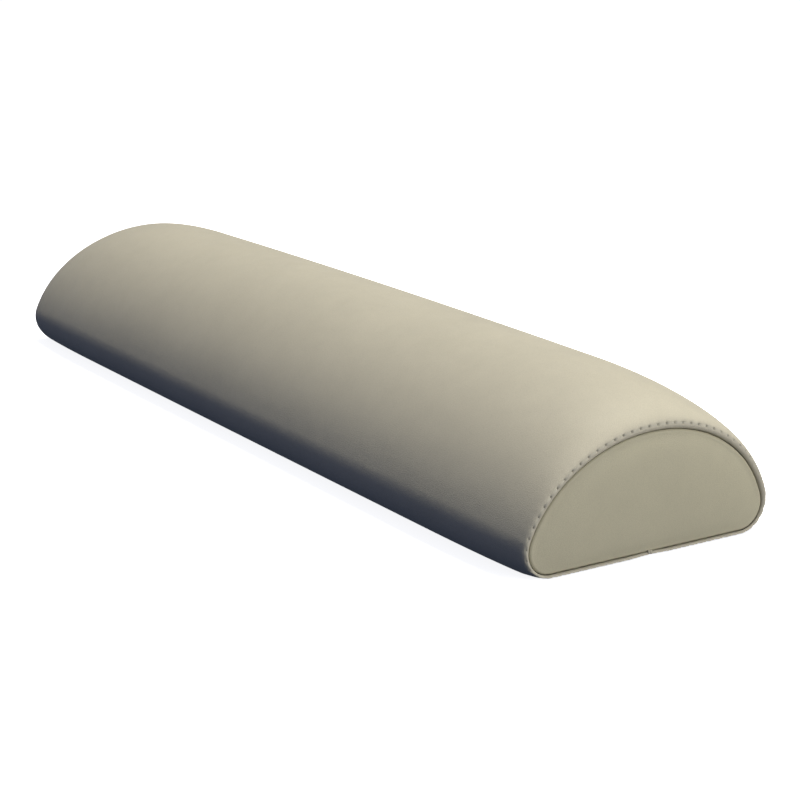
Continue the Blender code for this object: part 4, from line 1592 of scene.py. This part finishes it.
@dataclass
class ZipChain:
    """The zip: two woven tapes, a coil sewn to each, the stops and the stitching that holds them."""

    form: CoverForm
    slot: float = 0.0003
    wire: float = 0.00062
    pitch: float = 0.0015
    turn_points: int = 8
    tape_ripple: float = 0.00012
    ripple_turn: float = 210.0
    rib_depth: float = 0.00012
    rib_at: float = 0.0040
    rib_width: float = 0.0006
    hem_pitch: float = 0.0034
    hem_margin: float = 0.002
    hem_sink: float = 0.00022
    hem_bedding: float = 0.0005
    hem_thread: float = 0.00028
    tack_swings: int = 26
    tack_thread: float = 0.00021
    tack_lift: float = 0.00007

    def build(self) -> None:
        """Makes both sides and what closes their ends."""
        for side in ZipSide:
            self.tape(side)
            self.coil(side)
            self.hem_stitches(side)
            self.top_stop(side)
        self.bottom_stop()
        for end in End:
            self.bar_tack(end)

    def tape(self, side: ZipSide) -> None:
        """A thin ribbon: a flat superellipse section along X, with a faint ripple and a rib along its coil
        edge.
        """
        low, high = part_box(f"zip_tape_{side.name.lower()}")
        angle = np.arange(40) * math.tau / 40
        across, up = power_wave(angle, 9.0)
        x = np.linspace(low.x, high.x, 260)
        shape = np.empty((len(x), len(angle), 3))
        shape[..., 0] = x[:, None]
        shape[..., 1] = (low.y + high.y) / 2 + (high.y - low.y) / 2 * across
        rib = self.rib_depth * np.exp(-(((np.abs(shape[..., 1]) - self.rib_at) / self.rib_width) ** 2))
        half = (high.z - low.z) / 2 - self.tape_ripple / 2
        ripple = (
            self.tape_ripple / 2 * np.sin(x * self.ripple_turn)[:, None]
            * (np.abs(shape[..., 1]) > self.rib_at)
        )
        shape[..., 2] = (low.z + high.z) / 2 + (half - rib) * up + ripple
        centre = shape.mean(axis=1, keepdims=True)
        closed = np.concatenate((centre[:1] + 0 * shape[:1], shape, centre[-1:] + 0 * shape[-1:]))
        name = side.name.lower()
        obj = make_object(f"tape_{name}", grid_patch(closed, wrap_columns=True), crease=60)
        set_piece(obj, TAPE, Slot.ZIP_TAPE, Body.COVER, f"zip_tape_{name}")

    def coil(self, side: ZipSide) -> None:
        """A flattened helix of nylon wire. The two sides' turns lie half a pitch apart, head beside head."""
        low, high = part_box(f"zip_coil_{side.name.lower()}")
        outer = max(abs(low.y), abs(high.y))
        turns = int((high.x - low.x - self.wire) / self.pitch) - 1
        step = np.arange(turns * self.turn_points + 1) / self.turn_points
        across, up = power_wave(math.tau * step, 2.6)
        middle, reach = (outer + self.slot) / 2, (outer - self.slot - self.wire) / 2
        start = -turns * self.pitch / 2 + (0.25 * self.pitch) * side.value
        path = np.stack(
            (
                start + self.pitch * step,
                side.value * (middle + reach * across),
                (low.z + high.z) / 2 + (high.z - low.z - self.wire) / 2 * up,
            ),
            axis=1,
        )
        radii = closed_radii(len(step), self.wire / 2)
        name = side.name.lower()
        obj = make_object(f"coil_{name}", tubes(path[None], radii, np.array([1.0, 0, 0]), 5))
        set_piece(obj, NYLON, Slot.ZIP_COIL, Body.COVER, f"zip_coil_{name}")

    def hem_stitches(self, side: ZipSide) -> None:
        """A straight row of stitches along the hem's lap, each bedded at its ends."""
        form = self.form
        y = side.value * (form.hem_gap / 2 + form.hem_fold + form.hem_lap * 0.45)
        edges = np.arange(-form.zip_end + self.hem_margin, form.zip_end - self.hem_margin, self.hem_pitch)
        share = np.linspace(0, 1, 7)
        x = edges[:-1, None] + np.diff(edges)[:, None] * share
        z = form.hem_dip - self.hem_sink + self.hem_bedding * np.abs(2 * share - 1) ** 6
        centre = np.stack((x, y + 0 * x, z + 0 * x), axis=-1)
        radii = closed_radii(len(share), self.hem_thread)
        name = side.name.lower()
        obj = make_object(f"hem_stitching_{name}", tubes(centre, radii, np.array([0.0, 0, 1]), 5))
        set_piece(obj, THREAD, Slot.THREAD, Body.COVER, f"zip_stitch_{name}")

    def ridged(self, low: Vector, high: Vector, ridges: int) -> Patch:
        """A crimped metal stop: a rounded block with a wavy face."""
        block = rounded_block(tuple(low), tuple(high), 6.0, 17, 48)
        share = (block.points[:, 0] - low[0]) / (high[0] - low[0])
        middle = (low[2] + high[2]) / 2
        wave = 1 - 0.10 * (0.5 + 0.5 * np.cos(math.tau * ridges * share))
        block.points[:, 2] = middle + (block.points[:, 2] - middle) * wave
        return block

    def top_stop(self, side: ZipSide) -> None:
        """One small stop on each tape, past the closed end of the chain."""
        name = f"zip_top_stop_{side.name.lower()}"
        obj = make_object(f"top_stop_{side.name.lower()}", self.ridged(*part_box(name), 3))
        set_piece(obj, NICKEL, Slot.ZIP_METAL, Body.COVER, name)

    def bottom_stop(self) -> None:
        """The staple across both coils at the open end of the chain."""
        obj = make_object("bottom_stop", self.ridged(*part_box("zip_bottom_stop"), 2))
        set_piece(obj, NICKEL, Slot.ZIP_METAL, Body.COVER, "zip_bottom_stop")

    def bar_tack(self, end: End) -> None:
        """Dense zigzag stitching across the tapes: a thread that swings from side to side as it goes across.
        """
        name = f"bar_tack_{end.name.lower()}"
        low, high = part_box(name)
        swings, radius = self.tack_swings, self.tack_thread
        share = np.linspace(0, 1, swings * 6 + 1)
        swing = np.arcsin(np.sin(math.pi * swings * share)) * 2 / math.pi
        path = np.stack(
            (
                (low.x + high.x) / 2 + ((high.x - low.x) / 2 - radius) * swing,
                low.y + radius + (high.y - low.y - 2 * radius) * share,
                (low.z + high.z) / 2 - self.tack_lift * np.cos(math.pi * swings * share),
            ),
            axis=1,
        )
        radii = closed_radii(len(share), radius)
        obj = make_object(f"tack_{end.name.lower()}", tubes(path[None], radii, np.array([0.0, 0, 1]), 6))
        set_piece(obj, THREAD, Slot.THREAD, Body.COVER, name)


@dataclass
class Slider:
    """The zip's slider: two plates with turned edges, a thin post between the coils, and a crown for the
    pull.
    """

    plate: float = 0.0009
    wall: float = 0.0008
    post_half: float = 0.00016
    lower_top: float = 0.0041
    upper_underside: float = 0.0080
    wall_top: float = 0.0066
    crown_half: float = 0.0045
    crown_thick: float = 0.0009
    wall_setback: float = 0.0012
    edge_inset: float = 0.0003
    post_from: float = 0.0040
    post_to: float = 0.0010

    def build(self) -> None:
        """Joins the slider's parts into one piece."""
        low, high = (np.array(corner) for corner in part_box("slider_body"))
        middle = (low + high) / 2
        half = (high - low) / 2
        plates = [
            self.plate_patch(middle[0], half, self.lower_top - self.plate, self.lower_top),
            self.plate_patch(middle[0], half, self.upper_underside, high[2]),
        ]
        lap = self.plate / 2
        walls = []
        for side in ZipSide:
            outer = half[1] - self.edge_inset
            near, far = sorted((side.value * outer, side.value * (outer - self.wall)))
            walls.append(
                rounded_block(
                    (low[0] + self.wall_setback, near, self.lower_top - lap),
                    (high[0] - self.wall_setback, far, self.wall_top),
                )
            )
        post = rounded_block(
            (high[0] - self.post_from, -self.post_half, self.lower_top - lap),
            (high[0] - self.post_to, self.post_half, self.upper_underside + lap),
        )
        obj = make_object("slider", joined([*plates, *walls, post, self.crown(middle[0], low[2])]), crease=55)
        set_piece(obj, NICKEL, Slot.ZIP_METAL, Body.SLIDER, "slider_body")

    def plate_patch(self, x: float, half: np.ndarray, low: float, high: float) -> Patch:
        """A plate with a soft edge: rings of a superellipse outline that narrows towards the back."""
        shares = np.array([0, 0.35, 0.7, 0.86, 0.93, 0.975, 1.0, 1.0, 0.975, 0.93, 0.86, 0.7, 0.35, 0])
        levels = np.array([1, 1, 1, 0.98, 0.9, 0.72, 0.35, -0.35, -0.72, -0.9, -0.98, -1, -1, -1])
        along, across = power_wave(np.arange(64) * math.tau / 64, 4.5)
        narrow = 1 - 0.13 * (0.5 - 0.5 * along) ** 2
        points = np.empty((len(shares), len(along), 3))
        points[..., 0] = x + half[0] * along * shares[:, None]
        points[..., 1] = half[1] * across * narrow * shares[:, None]
        points[..., 2] = (low + high) / 2 - (high - low) / 2 * levels[:, None]
        return grid_patch(points, wrap_columns=True)

    def crown(self, x: float, lowest: float) -> Patch:
        """The bridge that the pull hangs on: a flat bar bent down from the plate and back, as half a
        superellipse.
        """
        turn = np.linspace(0, math.pi, 33)
        along, down = power_wave(turn, 4.0)
        radius = self.crown_thick / 2
        reach = self.crown_half - radius
        top = self.lower_top - self.plate / 2
        depth = top - (lowest + radius)
        path = np.stack((x + reach * along, 0 * along, top - depth * down), axis=1)
        radii = closed_radii(len(turn), radius)
        return tubes(path[None], radii, np.array([0.0, 1, 0.0001]), 16)


@dataclass
class PullTab:
    """The pull: a flat tab with an eye, whose cross bar lies in the slider's crown."""

    eye_back: float = 0.0062
    eye_half: float = 0.0014
    bar: float = 0.0004
    arm_half: float = 0.0026
    power: float = 5.0
    dish: float = 0.00016
    widen_from: float = 0.006
    widen_length: float = 0.005
    grip_at: float = 0.0085
    grip_half: tuple[float, float] = (0.0060, 0.0022)

    def build(self) -> None:
        """A ring-shaped plate: at each angle its section is a rounded bar from the eye's edge to the tab's
        edge.
        """
        low, high = (np.array(corner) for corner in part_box("pull_tab"))
        pivot = high[0] - self.bar
        turn = np.arange(96) * math.tau / 96
        eye_x, eye_y = power_wave(turn, self.power)
        inner_middle = pivot - (self.eye_back + self.bar) / 2
        inner = np.stack(
            (inner_middle + (self.eye_back - self.bar) / 2 * eye_x, self.eye_half * eye_y), axis=1
        )
        out_x, out_y = power_wave(turn, 3.2)
        outer_x = (low[0] + high[0]) / 2 + (high[0] - low[0]) / 2 * out_x
        widen = np.clip((pivot - self.widen_from - outer_x) / self.widen_length, 0, 1)
        widen = smooth_step(widen)
        outer = np.stack((outer_x, (self.arm_half + (high[1] - self.arm_half) * widen) * out_y), axis=1)
        loop = np.arange(56) * math.tau / 56
        across, up = power_wave(loop, 5.0)
        share = (0.5 + 0.5 * across)[:, None, None]
        flat = inner + (outer - inner) * share
        thick = (high[2] - low[2]) / 2
        points = np.empty((len(loop), len(turn), 3))
        points[..., :2] = flat
        middle = low[0] + self.grip_at
        long, wide = self.grip_half
        grip = ((points[..., 0] - middle) / long) ** 2 + (points[..., 1] / wide) ** 2
        hollow = self.dish * np.clip((1.15 - grip) / 0.3, 0, 1)
        points[..., 2] = (low[2] + high[2]) / 2 + up[:, None] * (thick - hollow)
        obj = make_object("pull", grid_patch(points, wrap_rows=True, wrap_columns=True), crease=60)
        set_piece(obj, NICKEL, Slot.ZIP_METAL, Body.PULL, "pull_tab")


# Studio


@dataclass(frozen=True)
class Softbox:
    """A square lamp: its power, side, place, and what it looks at."""

    name: str
    power: float
    side: float
    place: tuple[float, float, float]
    target: tuple[float, float, float] = (0.0, 0.0, 0.05)
    colour: tuple[float, float, float] = (1.0, 1.0, 1.0)

    def hang(self) -> None:
        """Puts the lamp in the scene."""
        lamp = bpy.data.lights.new(self.name, "AREA")
        lamp.energy = self.power
        lamp.size = self.side
        lamp.color = self.colour
        obj = bpy.data.objects.new(self.name, lamp)
        aim(obj, np.array(self.place), np.array(self.target))
        bpy.context.scene.collection.objects.link(obj)


def aim(obj: bpy.types.Object, place: np.ndarray, target: np.ndarray) -> None:
    """Stands an object at a place, with its -Z axis towards a target."""
    obj.location = place
    obj.rotation_euler = Vector(target - place).to_track_quat("-Z", "Y").to_euler()


@dataclass
class Studio:
    """Pale floor, pale surroundings, soft light from above and behind, and the camera."""

    azimuth: float = 56.920
    elevation: float = 13.750
    roll: float = 1.153
    distance: float = 1.309
    pan: float = -1.763
    tilt: float = -1.702
    lens: float = 83.0
    aim_height: float = 0.0554
    floor_half: float = 40.0

    def build(self) -> None:
        """Sets up everything round the object."""
        self.floor()
        self.surroundings()
        for lamp in self.lamps():
            lamp.hang()
        self.camera()
        bpy.context.scene.view_settings.view_transform = "Standard"

    def lamps(self) -> list[Softbox]:
        """The key from above, a weaker one from the right."""
        return [
            Softbox("key", 56.0, 1.2, (0.00, 0.36, 2.40), colour=(1.0, 0.98, 0.94)),
            Softbox("right", 15.5, 0.8, (1.70, 0.55, 0.35), colour=(1.0, 0.98, 0.95)),
        ]

    def floor(self) -> None:
        """A wide pale plane that the object stands on. Its light doesn't reach the object, and it is clear
        from below.
        """
        half = self.floor_half
        side = np.linspace(-half, half, 3)
        x, y = np.meshgrid(side, side)
        points = np.stack((x, y, np.full_like(x, -0.0004)), axis=2)
        obj = make_object("floor", grid_patch(points))
        finish = bpy.data.materials.new("pale floor")
        finish.use_nodes = True
        nodes = Nodes(finish.node_tree)
        shader = finish.node_tree.nodes["Principled BSDF"]
        place = nodes.add("TexCoord").outputs["Object"]
        tone = nodes.spread(nodes.noise(place, 0.4), 0.3, 0.7, 0.0, 1.0)
        nodes.link(nodes.mix(tone, (0.90, 0.90, 0.90, 1), (0.93, 0.93, 0.93, 1)), shader.inputs["Base Color"])
        shader.inputs["Roughness"].default_value = 0.9
        shader.inputs["Specular IOR Level"].default_value = 0.1
        shader.inputs["Emission Color"].default_value = (1, 1, 1, 1)
        shader.inputs["Emission Strength"].default_value = 0.88
        under = nodes.add("NewGeometry").outputs["Backfacing"]
        clear = nodes.add("BsdfTransparent")
        seen = nodes.add("MixShader", inputs={0: under, 1: shader.outputs[0], 2: clear.outputs[0]})
        nodes.link(seen.outputs[0], finish.node_tree.nodes["Material Output"].inputs["Surface"])
        obj.data.materials.append(finish)
        obj.visible_diffuse = False
        obj.visible_glossy = False
        obj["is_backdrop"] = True

    def surroundings(self) -> None:
        """White where the camera looks past the floor, and a dim cool room as far as the object can see."""
        world = bpy.data.worlds.new("room")
        world.use_nodes = True
        nodes = Nodes(world.node_tree)
        world.node_tree.nodes.clear()
        direction = nodes.add("TexCoord").outputs["Generated"]
        up = nodes.add("SeparateXYZ", inputs={0: direction})
        rise = nodes.spread(up.outputs[2], -0.6, 0.25, 0.0, 1.0)
        low = nodes.mix(rise, (0.024, 0.032, 0.058, 1), (0.095, 0.122, 0.235, 1))
        room = nodes.mix(nodes.spread(up.outputs[2], 0.25, 0.95, 0.0, 1.0), low, (0.16, 0.16, 0.17, 1))
        dim = nodes.add("Background", inputs={"Color": room, "Strength": 1.0})
        white = nodes.add("Background", inputs={"Color": (1, 1, 1, 1), "Strength": 1.0})
        seen = nodes.add("LightPath").outputs["Is Camera Ray"]
        both = nodes.add("MixShader", inputs={0: seen, 1: dim.outputs[0], 2: white.outputs[0]})
        sink = nodes.add("OutputWorld")
        nodes.link(both.outputs[0], sink.inputs["Surface"])
        bpy.context.scene.world = world

    def camera(self) -> None:
        """A long lens from the front right, a little above the bolster, turned by pan, tilt and roll."""
        azimuth, elevation = math.radians(self.azimuth), math.radians(self.elevation)
        back = np.array(
            [
                math.sin(azimuth) * math.cos(elevation),
                -math.cos(azimuth) * math.cos(elevation),
                math.sin(elevation),
            ]
        )
        right = np.array([math.cos(azimuth), math.sin(azimuth), 0.0])
        up = np.cross(back, right)
        place = back * self.distance + np.array([0, 0, self.aim_height])
        pan, tilt, roll = (math.radians(value) for value in (self.pan, self.tilt, self.roll))
        back, right = turned(back, up, pan), turned(right, up, pan)
        back, up = turned(back, right, tilt), turned(up, right, tilt)
        right, up = turned(right, back, roll), turned(up, back, roll)
        data = bpy.data.cameras.new("camera")
        data.lens = self.lens
        data.sensor_width = 36.0
        data.clip_end = 200.0
        obj = bpy.data.objects.new("camera", data)
        obj.matrix_world = Matrix(
            np.vstack((np.column_stack((right, up, back, place)), (0, 0, 0, 1))).tolist()
        )
        bpy.context.scene.collection.objects.link(obj)
        bpy.context.scene.camera = obj


def turned(vector: np.ndarray, axis: np.ndarray, angle: float) -> np.ndarray:
    """A vector turned about an axis: v cos t + (k x v) sin t + k (k . v)(1 - cos t)."""
    c, s = math.cos(angle), math.sin(angle)
    return vector * c + np.cross(axis, vector) * s + axis * np.dot(axis, vector) * (1 - c)


def clear_scene() -> None:
    """Removes what a new file starts with."""
    for obj in list(bpy.data.objects):
        bpy.data.objects.remove(obj, do_unlink=True)


def main() -> None:
    """Loads the frame, builds every sub-assembly round it, and lights it."""
    logging.basicConfig(level=logging.INFO, format="%(name)s: %(message)s")
    clear_scene()
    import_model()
    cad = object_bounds()
    Studio().build()
    form = CoverForm(rim_x=cad[1].x - 0.003)
    grid = CoverGrid(form, StitchPlan(form))
    wrap = WrapCover(grid, Swelling())
    swollen = wrap.build()
    for end in End:
        EndPanel(wrap, end).build()
        StitchRow(wrap, end).build()
    HiddenSeams(form).build()
    Filling(grid, swollen).build()
    ZipChain(form).build()
    Slider().build()
    PullTab().build()


if __name__ == "__main__":
    main()
